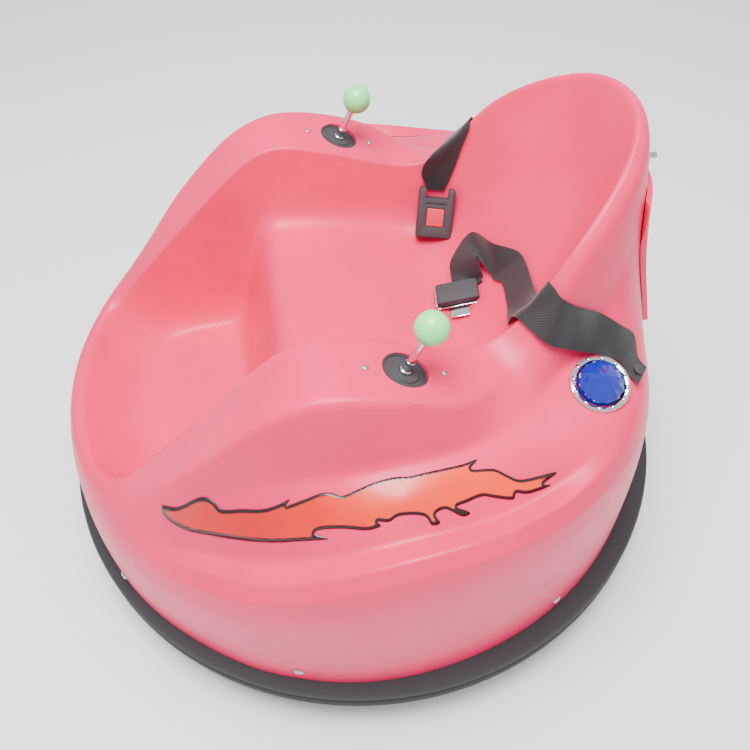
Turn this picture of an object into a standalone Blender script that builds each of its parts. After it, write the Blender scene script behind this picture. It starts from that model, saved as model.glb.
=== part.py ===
"""A child's round fairground bumper car, driven by two joysticks.

Metres, +Z up, the front faces -Y and the driver's left is +X. The origin is on the floor under the
middle of the rubber ring. Heights of the moulded shell and of what is fixed to it are measured from
the ring's middle plane, which the empty called ring_plane holds at RING_HEIGHT.
"""

import math

import bmesh
import bpy
from mathutils import Matrix, Vector
from mathutils.bvhtree import BVHTree

# Clearances
GAP = 0.0003  # between pieces that touch
BORE_GAP = 0.0004  # round a shaft in its bore
SEAM = 0.0009  # between the shell and a panel that lies on it

# Rubber ring
RING_HEIGHT = 0.070  # floor to the ring's middle plane
RING_RADIUS = 0.409
RING_INNER = 0.366
RING_HALF = 0.021  # half of its height
RING_GROOVE = 0.005  # depth of the grooves between its ribs
RING_STEPS = 40

# Moulded shell, heights from the ring's middle plane
SHELL_RADIUS = 0.389
CAGE_SWELL = 1.009  # a soft surface lies inside its cage
SHELL_SHIFT = -0.008  # the shell sits this far towards the front on the ring
SHELL_WALL = 0.005
SHELL_FOOT = RING_HALF + GAP
BOWL_RIM = 0.150
ARM_TOP = 0.368
PANEL_TOP = 0.348
DECK_TOP = 0.292
BACK_TOP = 0.492
FLOOR_TOP = 0.095
SEAT_FRONT = 0.262
SEAT_REAR = 0.212
INNER_HALF = 0.163  # centre line to the arm's inner edge
PANEL_WIDTH = 0.083

# Joysticks
STICK_X = 0.2033
STICK_Y = 0.0163
STICK_LEAN = math.radians(25.8)
STICK_TILT = math.radians(2.8)
STICK_HOLE = 0.0243
STICK_SHAFT = 0.0045
STICK_BALL = 0.0175
STICK_BALL_HEIGHT = 0.057  # panel to the middle of the ball
STICK_RECESS = 0.003
STICK_UNIT = (0.060, 0.098, 0.034)

# Lamps
LAMP_X = 0.2255
LAMP_Y = 0.2185
LAMP_RADIUS = 0.032
LAMP_BASE_HEIGHT = 0.010
LENS_RADIUS = 0.0255
LENS_HEIGHT = 0.022

# Rear hatch
HATCH_HALF = 0.098
HATCH_LOW = 0.236
HATCH_HIGH = 0.410
HATCH_LAP = 0.014  # how far the lid laps the opening
HATCH_WALL = 0.006
HINGE_PIN = 0.0025
HINGE_KNUCKLE = 0.0050
HINGE_HALF = 0.035
LEAF_THICK = 0.002
LEAF_HEIGHT = 0.022

# Steel frame, heights from the ring's middle plane
TUBE = 0.040
FRAME_TOP = FLOOR_TOP - SHELL_WALL - GAP
RAIL_X = 0.128
HOOP_OUTER = RING_INNER - GAP
HOOP_WALL = 0.004
HOOP_LOW = -0.018
HOOP_HIGH = 0.060
CASTER_Y = 0.275
CASTER_PLATE = 0.036  # half length of the plate a caster bolts to

# Drive wheels
WHEEL_RADIUS = 0.080
WHEEL_WIDTH = 0.040
WHEEL_X = 0.252
HUB_RADIUS = 0.056
AXLE_RADIUS = 0.0085
BOX_INNER_X = 0.155
BOX_OUTER_X = 0.212
BOX_SIZE = 0.070
MOTOR_RADIUS = 0.031
MOTOR_LENGTH = 0.100
PLATE_THICK = 0.004

# Casters
CASTER_WHEEL = 0.038
CASTER_WIDTH = 0.026
CASTER_TRAIL = 0.030
CASTER_BOLT = 0.005
CASTER_HEAD = 0.008
FORK_WALL = 0.0035

# Battery and controller
BATTERY = (0.181, 0.077, 0.167)
BATTERY_Y = 0.246
TRAY_THICK = 0.002
CONTROLLER = (0.120, 0.090, 0.042)

# Lap belt
STRAP_CLEAR = 0.0040  # strap to the shell
STRAP_THICK = 0.0022
BUCKLE = (0.048, 0.022, 0.066)
BUCKLE_AT = (-0.1238, 0.1300, 0.2614)
NOTCH = 0.013  # depth of the opening that the webbing enters
BUTTON = (0.023, 0.004, 0.024)
BUTTON_DROP = -0.0046  # the button sits below the middle
TONGUE = (0.056, 0.036, 0.010)
ANCHOR_HEAD = 0.0065
ANCHOR_SHANK = 0.003

STEPS = 24


def clear_scene():
    for old in list(bpy.data.objects):
        bpy.data.objects.remove(old, do_unlink=True)


def collection(name):
    made = bpy.data.collections.new(name)
    bpy.context.scene.collection.children.link(made)
    return made


clear_scene()
CAR = collection("bumper_car")
HELPERS = collection("cutters")


def material(name, colour, roughness, metallic=0.0):
    made = bpy.data.materials.new(name)
    made.use_nodes = True
    shader = made.node_tree.nodes["Principled BSDF"]
    shader.inputs["Base Color"].default_value = (*colour, 1.0)
    shader.inputs["Roughness"].default_value = roughness
    shader.inputs["Metallic"].default_value = metallic
    return made


def place(obj, colour=None, roughness=0.5, metallic=0.0, parent=None, location=(0, 0, 0)):
    """Links a finished piece to the car, with a material of its own."""
    CAR.objects.link(obj)
    if colour is not None:
        obj.data.materials.append(material(obj.name, colour, roughness, metallic))
    obj.location = location
    obj.parent = parent
    return obj


def helper(obj, parent=None, location=(0, 0, 0)):
    """Links a cutter, which only its Boolean sees."""
    HELPERS.objects.link(obj)
    obj.hide_render = True
    obj.display_type = "WIRE"
    obj.location = location
    obj.parent = parent
    return obj


def from_bmesh(name, shape, smooth=None):
    mesh = bpy.data.meshes.new(name)
    shape.to_mesh(mesh)
    shape.free()
    if smooth is not None:
        mesh.shade_smooth()
        mesh.set_sharp_from_angle(angle=math.radians(smooth))
    return bpy.data.objects.new(name, mesh)


def box(name, low, high, bevel=0.0):
    shape = bmesh.new()
    size = Vector(high) - Vector(low)
    middle = (Vector(high) + Vector(low)) / 2
    bmesh.ops.create_cube(shape, size=1.0, matrix=Matrix.Translation(middle) @ Matrix.Diagonal((*size, 1)))
    made = from_bmesh(name, shape)
    if bevel:
        edge = made.modifiers.new("edges", "BEVEL")
        edge.width = bevel
        edge.segments = 2
        edge.limit_method = "ANGLE"
    return made


def centred_box(name, size, bevel=0.0, middle=(0, 0, 0)):
    half = Vector(size) / 2
    return box(name, Vector(middle) - half, Vector(middle) + half, bevel)


def cylinder(name, radius, start, end, steps=STEPS, top_radius=None):
    """A rod or cone from start to end, smooth round its side."""
    start, end = Vector(start), Vector(end)
    turn = (end - start).to_track_quat("Z", "Y").to_matrix().to_4x4()
    shape = bmesh.new()
    bmesh.ops.create_cone(
        shape, cap_ends=True, segments=steps, radius1=radius,
        radius2=radius if top_radius is None else top_radius, depth=(end - start).length,
        matrix=Matrix.Translation((start + end) / 2) @ turn)
    return from_bmesh(name, shape, smooth=40)


def turned(name, profile, steps=STEPS, smooth=40):
    """A closed outline of (radius, height), down its outer side, turned about Z."""
    shape = bmesh.new()
    points = [shape.verts.new((radius, 0, height)) for radius, height in profile]
    closed = profile[0][0] > 0 and profile[-1][0] > 0
    for first, second in zip(points, points[1:] + points[:1] if closed else points[1:]):
        shape.edges.new((first, second))
    made = from_bmesh(name, shape)
    screw = made.modifiers.new("turn", "SCREW")
    screw.steps = screw.render_steps = steps
    screw.use_merge_vertices = True
    screw.merge_threshold = 0.00005
    screw.use_smooth_shade = True
    return made


def combine(target, other, operation):
    cut = target.modifiers.new(operation.lower(), "BOOLEAN")
    cut.operation = operation
    cut.solver = "EXACT"
    cut.object = other
    return target


# --- Moulded shell -----------------------------------------------------------------------------

def around(azimuth, radius, height):
    """A point of the outer wall, about the shell's own middle."""
    angle = math.radians(azimuth)
    radius *= CAGE_SWELL
    return (radius * math.cos(angle), SHELL_SHIFT + radius * math.sin(angle), height)


def outer(azimuth, top, *steps):
    """The outer wall from the foot up: each step is (inset from the shell radius, drop from top)."""
    wall = [around(azimuth, SHELL_RADIUS, SHELL_FOOT)]
    wall += [around(azimuth, SHELL_RADIUS - inset, top - drop) for inset, drop in steps]
    return wall


def column(wall, crest_out, crest_in, mid, low, edge, centre_y, centre_z):
    """One column of the cage, from the wall's foot over the crest to the centre line."""
    out, inner = Vector(crest_out), Vector(crest_in)
    middle = (out + inner) / 2
    lip = inner + (Vector(mid) - inner).normalized() * 0.014
    half = (edge[0] / 2, (edge[1] + centre_y) / 2, (edge[2] + centre_z) / 2)
    centre = (0, centre_y, centre_z)
    return [*wall, crest_out, tuple(middle), crest_in, tuple(lip), mid, low, edge, half, centre]


def shell_columns():
    """Columns of the cage's +X half, from the front centre line round to the rear one."""
    arm_out = INNER_HALF + PANEL_WIDTH
    floor = FLOOR_TOP
    return [
        column(outer(-90, BOWL_RIM, (0, 0.095), (0.003, 0.068), (0.006, 0.046), (0.009, 0.030),
                     (0.012, 0.019), (0.0145, 0.011), (0.017, 0.005), (0.020, 0.001)),
               (0, -0.375, BOWL_RIM + 0.001), (0, -0.366, BOWL_RIM - 0.001), (0, -0.345, 0.124), (0,
               -0.322, 0.105), (0, -0.298, floor), -0.245, floor),
        column(outer(-74, BOWL_RIM, (0, 0.095), (0.003, 0.068), (0.006, 0.046), (0.009, 0.030),
                     (0.012, 0.019), (0.0145, 0.011), (0.017, 0.005), (0.020, 0.001)),
               (0.100, -0.360, BOWL_RIM + 0.001), (0.095, -0.350, BOWL_RIM - 0.001), (0.088, -0.329,
               0.125), (0.082, -0.308, 0.105), (0.075, -0.289, floor), -0.215, floor),
        column(outer(-58, 0.165, (0, 0.107), (0.003, 0.077), (0.007, 0.053), (0.011, 0.037),
                     (0.016, 0.024), (0.020, 0.015), (0.025, 0.007), (0.031, 0.001)),
               (0.184, -0.306, 0.168), (0.156, -0.321, 0.154), (0.148, -0.296, 0.128), (0.139, -0.276,
               0.106), (0.124, -0.262, floor), -0.190, floor),
        column(outer(-45, 0.232, (0, 0.172), (0.002, 0.128), (0.006, 0.096), (0.013, 0.074),
                     (0.023, 0.060), (0.037, 0.050), (0.051, 0.034), (0.061, 0.014)),
               (0.222, -0.246, 0.236), (INNER_HALF, -0.252, 0.220), (0.157, -0.238, 0.150), (0.152,
               -0.230, 0.110), (0.138, -0.222, floor), -0.170, floor),
        column(outer(-31, 0.298, (0, 0.236), (0.002, 0.180), (0.005, 0.148), (0.014, 0.122),
                     (0.028, 0.108), (0.049, 0.100), (0.067, 0.066), (0.089, 0.030)),
               (0.236, -0.176, 0.302), (INNER_HALF, -0.176, 0.292), (0.157, -0.172, 0.170), (0.152,
               -0.170, 0.110), (0.138, -0.167, floor), -0.160, floor),
        column(outer(-23, 0.340, (0, 0.276), (0.002, 0.210), (0.005, 0.176), (0.013, 0.150),
                     (0.027, 0.136), (0.051, 0.128), (0.075, 0.092), (0.105, 0.056)),
               (0.240, -0.128, 0.345), (INNER_HALF, -0.130, 0.337), (0.157, -0.142, 0.210), (0.152,
               -0.143, 0.122), (0.138, -0.144, 0.103), -0.146, 0.101),
        column(outer(-14, ARM_TOP, (0, 0.300), (0.002, 0.218), (0.005, 0.178), (0.013, 0.150),
                     (0.028, 0.136), (0.052, 0.136), (0.079, 0.106), (0.113, 0.084)),
               (arm_out - 0.004, -0.082, ARM_TOP - 0.002), (INNER_HALF, -0.086, ARM_TOP), (0.157,
               -0.100, 0.312), (0.152, -0.108, 0.272), (0.138, -0.108, SEAT_FRONT - 0.010), -0.109,
               SEAT_FRONT - 0.012),
        column(outer(-7, 0.362, (0, 0.292), (0.002, 0.200), (0.005, 0.154), (0.013, 0.124),
                     (0.028, 0.110), (0.052, 0.114), (0.080, 0.088), (0.116, 0.074)),
               (arm_out + 0.001, -0.042, 0.365), (INNER_HALF, -0.044, 0.363), (0.156, -0.060, 0.312),
               (0.151, -0.074, 0.276), (0.138, -0.082, SEAT_FRONT), -0.086, SEAT_FRONT - 0.001),
        column(outer(3, PANEL_TOP, (0, 0.276), (0.002, 0.176), (0.005, 0.124), (0.013, 0.094),
                     (0.028, 0.080), (0.052, 0.090), (0.081, 0.067), (0.117, 0.058)),
               (arm_out + 0.002, 0.014, PANEL_TOP + 0.003), (INNER_HALF, 0.012, PANEL_TOP - 0.003),
               (0.155, 0.008, 0.300), (0.150, 0.006, 0.266), (0.136, 0.004, 0.248), 0.0, 0.246),
        column(outer(17, 0.322, (0, 0.246), (0.002, 0.152), (0.004, 0.104), (0.011, 0.076),
                     (0.024, 0.062), (0.048, 0.078), (0.077, 0.048), (0.111, 0.036)),
               (arm_out + 0.004, 0.076, 0.325), (INNER_HALF + 0.004, 0.074, 0.316), (0.158, 0.076,
               0.274), (0.151, 0.078, 0.246), (0.132, 0.080, 0.226), 0.086, 0.220),
        column(outer(30, DECK_TOP, (0, 0.216), (0.002, 0.132), (0.004, 0.086), (0.009, 0.056),
                     (0.021, 0.035), (0.041, 0.034), (0.071, 0.014), (0.109, 0.002)),
               (0.192, 0.128, DECK_TOP + 0.004), (0.158, 0.128, 0.313), (0.150, 0.122, 0.278), (0.142,
               0.120, 0.246), (0.122, 0.118, 0.222), 0.126, SEAT_REAR),
        column(outer(42, DECK_TOP, (0, 0.216), (0.002, 0.132), (0.004, 0.082), (0.009, 0.046),
                     (0.018, 0.020), (0.031, 0.005), (0.059, 0), (0.117, 0)),
               (0.174, 0.172, 0.344), (0.153, 0.162, 0.355), (0.145, 0.158, 0.310), (0.134, 0.154,
               0.266), (0.112, 0.150, 0.238), 0.152, 0.232),
        column(outer(54, DECK_TOP, (0.001, 0.218), (0.004, 0.152), (0.010, 0.102), (0.017, 0.056),
                     (0.025, 0.024), (0.037, 0.006), (0.067, -0.001), (0.101, -0.004)),
               (0.158, 0.204, 0.398), (0.144, 0.192, 0.408), (0.136, 0.188, 0.364), (0.122, 0.184,
               0.316), (0.102, 0.178, 0.278), 0.176, 0.262),
        column(outer(66, 0.300, (0, 0.226), (0.006, 0.175), (0.015, 0.140), (0.025, 0.100),
                     (0.037, 0.056), (0.051, 0.016), (0.067, -0.022), (0.083, -0.084)),
               (0.121, 0.262, 0.442), (0.109, 0.246, 0.453), (0.102, 0.238, 0.414), (0.089, 0.228,
               0.368), (0.070, 0.218, 0.326), 0.212, 0.304),
        column(outer(78, 0.300, (0, 0.226), (0.005, 0.175), (0.014, 0.135), (0.023, 0.092),
                     (0.035, 0.048), (0.047, 0), (0.056, -0.045), (0.063, -0.100)),
               (0.065, 0.303, 0.474), (0.059, 0.287, 0.484), (0.053, 0.278, 0.450), (0.045, 0.268,
               0.408), (0.034, 0.254, 0.368), 0.246, 0.350),
        column(outer(90, 0.300, (0, 0.226), (0.005, 0.175), (0.013, 0.135), (0.022, 0.092),
                     (0.033, 0.046), (0.043, -0.002), (0.051, -0.050), (0.057, -0.108)),
               (0, 0.316, BACK_TOP - 0.010), (0, 0.299, BACK_TOP), (0, 0.290, 0.458), (0, 0.281,
               0.422), (0, 0.271, 0.396), 0.262, 0.378),
    ]


# Firm lines of the moulding: row, first and last column, crease
FOLDS = ((4, 3, 12, 0.4), (5, 3, 11, 0.5), (6, 3, 11, 0.4), (8, 3, 11, 0.4), (8, 11, 15, 0.5),
         (9, 3, 11, 0.5), (11, 2, 11, 0.4), (15, 1, 6, 0.3))


def shell_surface(name, offset=0.0):
    """The shell's outer surface, open below, moved out by offset."""
    columns = shell_columns()
    across, up = len(columns), len(columns[0])
    shape = bmesh.new()
    bmesh.ops.create_grid(shape, x_segments=across - 1, y_segments=up - 1, size=1.0)
    shape.verts.ensure_lookup_table()
    sharp = shape.edges.layers.float.new("crease_edge")
    for row in range(up):
        for place_in_row, points in enumerate(columns):
            shape.verts[row * across + place_in_row].co = points[row]
    for row, first, last, crease in FOLDS:
        for place_in_row in range(first, last):
            start = shape.verts[row * across + place_in_row]
            edge = next(e for e in start.link_edges if e.other_vert(start).index == start.index + 1)
            edge[sharp] = crease
    made = from_bmesh(name, shape, smooth=180)
    mirror = made.modifiers.new("other_side", "MIRROR")
    mirror.merge_threshold = 0.0001
    soft = made.modifiers.new("soft", "SUBSURF")
    soft.levels = soft.render_levels = 1
    if offset:
        move = made.modifiers.new("offset", "DISPLACE")
        move.mid_level = 0.0
        move.strength = offset
    return made


def thicken(obj, thickness, offset):
    wall = obj.modifiers.new("wall", "SOLIDIFY")
    wall.thickness = thickness
    wall.offset = offset
    wall.use_even_offset = True
    return obj


def surface_tree(obj):
    """The evaluated surface, to seat small pieces on."""
    bpy.context.view_layer.update()
    graph = bpy.context.evaluated_depsgraph_get()
    evaluated = obj.evaluated_get(graph)
    mesh = evaluated.to_mesh()
    points = [v.co.copy() for v in mesh.vertices]
    tree = BVHTree.FromPolygons(points, [tuple(p.vertices) for p in mesh.polygons])
    evaluated.to_mesh_clear()
    return tree


def top_at(tree, x, y, start=0.6):
    """The first point of the surface below (x, y), and its normal."""
    point, normal, _, _ = tree.ray_cast(Vector((x, y, start)), Vector((0, 0, -1)))
    return point, normal if normal.z > 0 else -normal


PINK = (0.89, 0.19, 0.29)
RUBBER = (0.012, 0.012, 0.014)
BLACK = (0.02, 0.02, 0.022)
STEEL = (0.55, 0.56, 0.58)
DARK_STEEL = (0.08, 0.08, 0.09)
GREEN = (0.10, 0.85, 0.16)
RED = (0.50, 0.01, 0.04)
BLUE = (0.01, 0.05, 0.45)

ring_plane = bpy.data.objects.new("ring_plane", None)
CAR.objects.link(ring_plane)
ring_plane.location = (0, 0, RING_HEIGHT)

shell = thicken(shell_surface("body_shell"), SHELL_WALL, -1)
place(shell, PINK, 0.35, parent=ring_plane)
skin = helper(shell_surface("skin"), ring_plane)
TREE = surface_tree(skin)
shell_fit = helper(thicken(shell_surface("shell_fit", GAP), SHELL_WALL + 0.012, -1), ring_plane)
skin_fit = helper(thicken(shell_surface("skin_fit", GAP), SHELL_WALL, -1), ring_plane)


# --- Rubber ring -------------------------------------------------------------------------------

def ring_profile():
    """Two round ribs with a groove between them."""
    rib = RING_HALF / 2
    points = [(RING_INNER, RING_HALF), (RING_RADIUS - 0.012, RING_HALF)]
    for middle in (rib, -rib):
        for step in range(5):
            angle = math.radians(70 - 35 * step)
            out = RING_RADIUS - RING_GROOVE * (1 - math.cos(angle))
            points.append((out, middle + rib * math.sin(angle)))
    points += [(RING_RADIUS - 0.012, -RING_HALF), (RING_INNER, -RING_HALF)]
    return points


place(turned("bumper_ring", ring_profile(), RING_STEPS), RUBBER, 0.6, parent=ring_plane)


# --- Joysticks ---------------------------------------------------------------------------------

def stick_frame(side):
    """Placement whose origin is the middle of the panel's hole and whose Z is the panel's normal."""
    point, _ = top_at(TREE, side * STICK_X, STICK_Y)
    lean = Matrix.Rotation(-STICK_LEAN, 4, "X")
    tilt = Matrix.Rotation(-side * STICK_TILT, 4, "Y")
    return Matrix.Translation(point) @ lean @ tilt


def joystick(side, word):
    place_at = stick_frame(side)
    hole = helper(cylinder("stick_hole_" + word, STICK_HOLE, (0, 0, -0.02), (0, 0, 0.02)), ring_plane)
    hole.matrix_local = place_at
    combine(shell, hole, "DIFFERENCE")
    wide, long, deep = STICK_UNIT
    top = -STICK_RECESS
    body_top = -0.012
    unit = centred_box("joystick_unit_" + word, (wide, long, deep), middle=(0, 0, body_top - deep / 2))
    collar = helper(cylinder("stick_collar_" + word, STICK_HOLE - BORE_GAP,
                             (0, 0, body_top - 0.012), (0, 0, top)), ring_plane)
    collar.matrix_local = place_at
    combine(combine(unit, shell_fit, "DIFFERENCE"), collar, "UNION")
    place(unit, BLACK, 0.5, parent=ring_plane)
    unit.matrix_local = place_at
    ball_low = STICK_BALL_HEIGHT - STICK_BALL
    shaft = cylinder("joystick_shaft_" + word, STICK_SHAFT, (0, 0, top + GAP), (0, 0, ball_low - GAP), 16)
    place(shaft, STEEL, 0.25, 1.0, ring_plane)
    shaft.matrix_local = place_at
    shape = bmesh.new()
    bmesh.ops.create_uvsphere(shape, u_segments=16, v_segments=10, radius=STICK_BALL)
    ball = place(from_bmesh("joystick_ball_" + word, shape, smooth=180), GREEN, 0.35, parent=ring_plane)
    ball.matrix_local = place_at @ Matrix.Translation((0, 0, STICK_BALL_HEIGHT))


# --- Lamps -------------------------------------------------------------------------------------

def upright(point, normal):
    """Placement at the point with Z along the normal."""
    return Matrix.Translation(point) @ normal.to_track_quat("Z", "Y").to_matrix().to_4x4()


def seat(tree, x, y, radius):
    """Placement of a flat round foot that just clears the surface, with Z along the surface's normal."""
    point, _ = top_at(tree, x, y)
    circles = []
    for share in (1.0, 0.75, 0.5, 0.25):
        angles = [2 * math.pi * step / 32 for step in range(32)]
        reach = share * radius
        circles.append([top_at(tree, x + reach * math.cos(a), y + reach * math.sin(a))[0] for a in angles])
    rim = circles[0]
    normal = sum(((a - point).cross(b - point) for a, b in zip(rim, rim[1:] + rim[:1])), Vector())
    normal.normalize()
    rise = max((spot - point).dot(normal) for spot in [point, *sum(circles, [])])
    return upright(point + normal * (rise + 3 * GAP), normal)


def lamp(side, word):
    place_at = seat(TREE, side * LAMP_X, LAMP_Y, LAMP_RADIUS)
    top = LAMP_BASE_HEIGHT
    base = turned("lamp_base_" + word, [(0, top), (LENS_RADIUS, top), (LAMP_RADIUS, top - 0.003),
                                        (LAMP_RADIUS, 0), (0, 0)])
    combine(base, skin_fit, "DIFFERENCE")
    place(base, STEEL, 0.15, 1.0, ring_plane)
    base.matrix_local = place_at
    foot = top + GAP
    lens = turned("lamp_lens_" + word, [(0, foot + LENS_HEIGHT), (0.006, foot + LENS_HEIGHT - 0.0015),
                                        (LENS_RADIUS, foot + 0.004), (LENS_RADIUS, foot), (0, foot)])
    place(lens, BLUE, 0.1, parent=ring_plane)
    lens.matrix_local = place_at


for side, word in ((1, "left"), (-1, "right")):
    joystick(side, word)
    lamp(side, word)


# --- Lap belt ----------------------------------------------------------------------------------

# Stations of each half, in mm: middle of the strap, then the vector from its middle line to one edge
STRAP_LEFT = (
    ((221, 268, 293), (-10, 9, 0)), ((204, 264, 293), (-10, 10, 0)), ((187, 263, 301), (-16, 14, 2)),
    ((183, 249, 311), (-15, 9, 9)), ((177, 228, 322), (-15, 5, 16)), ((179, 201, 337), (-11, 4, 21)),
    ((177, 176, 352), (-12, 9, 20)), ((153, 164, 358), (-6, 18, 17)), ((137, 165, 338), (-2, 20, 13)),
    ((119, 171, 305), (-2, 20, 13)), ((80, 184, 284), (-5, 19, 14)), ((26, 191, 281), (-10, 10, 17)),
    ((2, 173, 277), (-14, 0, 19)), ((-37, 159, 274), (-20, 1, 4)), ((-28, 144, 262), (-15, -12, -13)),
    ((-15, 144, 248), (-12, -16, -12)), ((-6, 147, 240), (-4, -22, -2)), ((1, 150, 236), (-3, -24, -2)),
)
STRAP_RIGHT = (
    ((-221, 268, 293), (10, 9, 0)), ((-204, 264, 293), (10, 10, 0)), ((-187, 263, 301), (16, 14, 2)),
    ((-183, 249, 311), (15, 9, 9)), ((-177, 228, 322), (15, 5, 16)), ((-179, 201, 337), (11, 4, 21)),
    ((-177, 176, 352), (12, 9, 20)), ((-155, 163, 359), (5, 18, 18)), ((-148, 146, 338), (0, 24, 8)),
    ((-149, 139, 314), (1, 24, 3)), ((-147, 136, 296), (3, 17, 0)), ((-143, 135, 284), (3, 10, 0)),
)


def flow(points, steps=5):
    """A smooth run of points through the given ones."""
    ends = [2 * points[0] - points[1], *points, 2 * points[-1] - points[-2]]
    run = []
    for a, b, c, d in zip(ends, ends[1:], ends[2:], ends[3:]):
        for step in range(steps):
            t = step / steps
            run.append(0.5 * (2 * b + (c - a) * t + (2 * a - 5 * b + 4 * c - d) * t * t
                              + (3 * b - a - 3 * c + d) * t * t * t))
    return [*run, points[-1]]


def lifted(point, clear):
    """The point, moved out of the shell where it is nearer than clear."""
    for _ in range(4):
        spot, normal, _, _ = TREE.find_nearest(point)
        point = point + normal * max(0.0, clear - (point - spot).dot(normal))
    return point


def strap(word, stations):
    """One half of the belt: a ribbon through its stations, laid over the shell."""
    middles = flow([Vector(middle) / 1000 for middle, _ in stations])
    reaches = flow([Vector(reach) / 1000 for _, reach in stations])
    across = [share / 4 for share in range(-4, 5)]
    shape = bmesh.new()
    rows = [[shape.verts.new(lifted(middle + reach * share, STRAP_CLEAR)) for share in across]
            for middle, reach in zip(middles, reaches)]
    for row, after in zip(rows, rows[1:]):
        for a, b, c, d in zip(row, row[1:], after[1:], after):
            shape.faces.new((a, b, c, d))
    made = thicken(from_bmesh("belt_webbing_" + word, shape, smooth=180), STRAP_THICK, 0)
    place(made, BLACK, 0.9, parent=ring_plane)
    end = lifted((middles[0] + middles[5]) / 2, STRAP_CLEAR)
    _, normal, _, _ = TREE.find_nearest(end)
    top = STRAP_THICK / 2 + 3 * GAP
    under = -STRAP_CLEAR - SHELL_WALL - 9 * GAP
    bolt = turned("belt_anchor_" + word, [
        (0, top + 0.003), (ANCHOR_HEAD, top + 0.002), (ANCHOR_HEAD, top), (ANCHOR_SHANK, top),
        (ANCHOR_SHANK, under), (ANCHOR_HEAD, under), (ANCHOR_HEAD, under - 0.005), (0, under - 0.005)], 16)
    place(bolt, STEEL, 0.3, 1.0, ring_plane)
    hole = helper(turned("anchor_hole_" + word, [
        (0, 0.02), (ANCHOR_HEAD + GAP, 0.02), (ANCHOR_HEAD + GAP, top - GAP), (ANCHOR_SHANK + GAP, top - GAP),
        (ANCHOR_SHANK + GAP, under + GAP), (ANCHOR_HEAD + GAP, under + GAP), (ANCHOR_HEAD + GAP, -0.02),
        (0, -0.02)], 16), ring_plane)
    bolt.matrix_local = hole.matrix_local = upright(end, normal)
    combine(made, hole, "DIFFERENCE")
    combine(shell, hole, "DIFFERENCE")
    return made


def basis(middle, across, along):
    """A placement with X along the first direction and Z as near as it can be to the second."""
    x = across.normalized()
    y = along.cross(x).normalized()
    axes = Matrix((x, y, x.cross(y))).transposed()
    return Matrix.Translation(middle) @ axes.to_4x4()


def fittings(left_strap, right_strap):
    """The buckle with its button on the right half, and the tongue on the left half."""
    wide, deep, high = BUCKLE
    at = basis(Vector(BUCKLE_AT), Vector((0.257, 0.964, -0.064)), Vector((-0.458, 0.183, 0.870)))
    buckle = centred_box("belt_buckle", BUCKLE, 0.003)
    notch = helper(box("buckle_notch", (-0.0155, -deep, high / 2 - NOTCH), (0.0155, deep, high)), ring_plane)
    across, thick, tall = BUTTON
    sill = BUTTON_DROP - tall / 2 - GAP
    floor = 0.003 - deep / 2
    pocket = helper(box("button_pocket", (-across / 2 - GAP, -deep, sill),
                        (across / 2 + GAP, floor, sill + tall + 2 * GAP)), ring_plane)
    button = centred_box("buckle_button", BUTTON, 0.0006, (0, floor - GAP - thick / 2, BUTTON_DROP))
    place(buckle, BLACK, 0.4, parent=ring_plane)
    place(button, RED, 0.35, parent=ring_plane)
    for other in (notch, pocket, shell_fit):
        combine(buckle, other, "DIFFERENCE")
    for obj in (buckle, button, notch, pocket):
        obj.matrix_local = at

    spot, normal, _, _ = TREE.find_nearest(Vector((0.004, 0.141, 0.230)))
    lie = basis(spot + normal * 0.0085, Vector((0.17, 0.98, 0.25)), normal)
    tongue = centred_box("belt_tongue", TONGUE, 0.002)
    place(tongue, STEEL, 0.2, 1.0, ring_plane)
    tongue.matrix_local = lie
    combine(tongue, shell_fit, "DIFFERENCE")
    tongue_fit = helper(centred_box("tongue_fit", tuple(2 * GAP + side for side in TONGUE)), ring_plane)
    tongue_fit.matrix_local = lie
    combine(left_strap, tongue_fit, "DIFFERENCE")
    buckle_fit = helper(centred_box("buckle_fit", (2 * wide, 4 * deep, high)), ring_plane)
    buckle_fit.matrix_local = at @ Matrix.Translation((0, 0, -NOTCH - GAP))
    combine(right_strap, buckle_fit, "DIFFERENCE")


fittings(strap("left", STRAP_LEFT), strap("right", STRAP_RIGHT))


# --- Rear hatch --------------------------------------------------------------------------------

def hatch():
    opening = helper(box("hatch_opening", (-HATCH_HALF + HATCH_LAP, 0.300, HATCH_LOW + HATCH_LAP),
                         (HATCH_HALF - HATCH_LAP, 0.440, HATCH_HIGH - HATCH_LAP)), ring_plane)
    combine(shell, opening, "DIFFERENCE")
    bounds = helper(box("hatch_bounds", (-HATCH_HALF, 0.300, HATCH_LOW), (HATCH_HALF, 0.440, HATCH_HIGH)),
                    ring_plane)
    lid = thicken(shell_surface("rear_hatch", SEAM), HATCH_WALL, 1)
    place(combine(lid, bounds, "INTERSECT"), PINK, 0.35, parent=ring_plane)
    back, _, _, _ = TREE.ray_cast(Vector((0, 0.6, HATCH_LOW)), Vector((0, -1, 0)))
    low_back, _, _, _ = TREE.ray_cast(Vector((0, 0.6, HATCH_LOW - LEAF_HEIGHT)), Vector((0, -1, 0)))
    high_back, _, _, _ = TREE.ray_cast(Vector((0, 0.6, HATCH_LOW + LEAF_HEIGHT)), Vector((0, -1, 0)))
    skin_y = HATCH_WALL + SEAM
    pin_y = back.y + skin_y + GAP + LEAF_THICK + HINGE_KNUCKLE
    pin_z = HATCH_LOW - HINGE_KNUCKLE
    return Vector((0, pin_y, pin_z)), low_back, high_back


pin_at, low_back, high_back = hatch()


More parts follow.
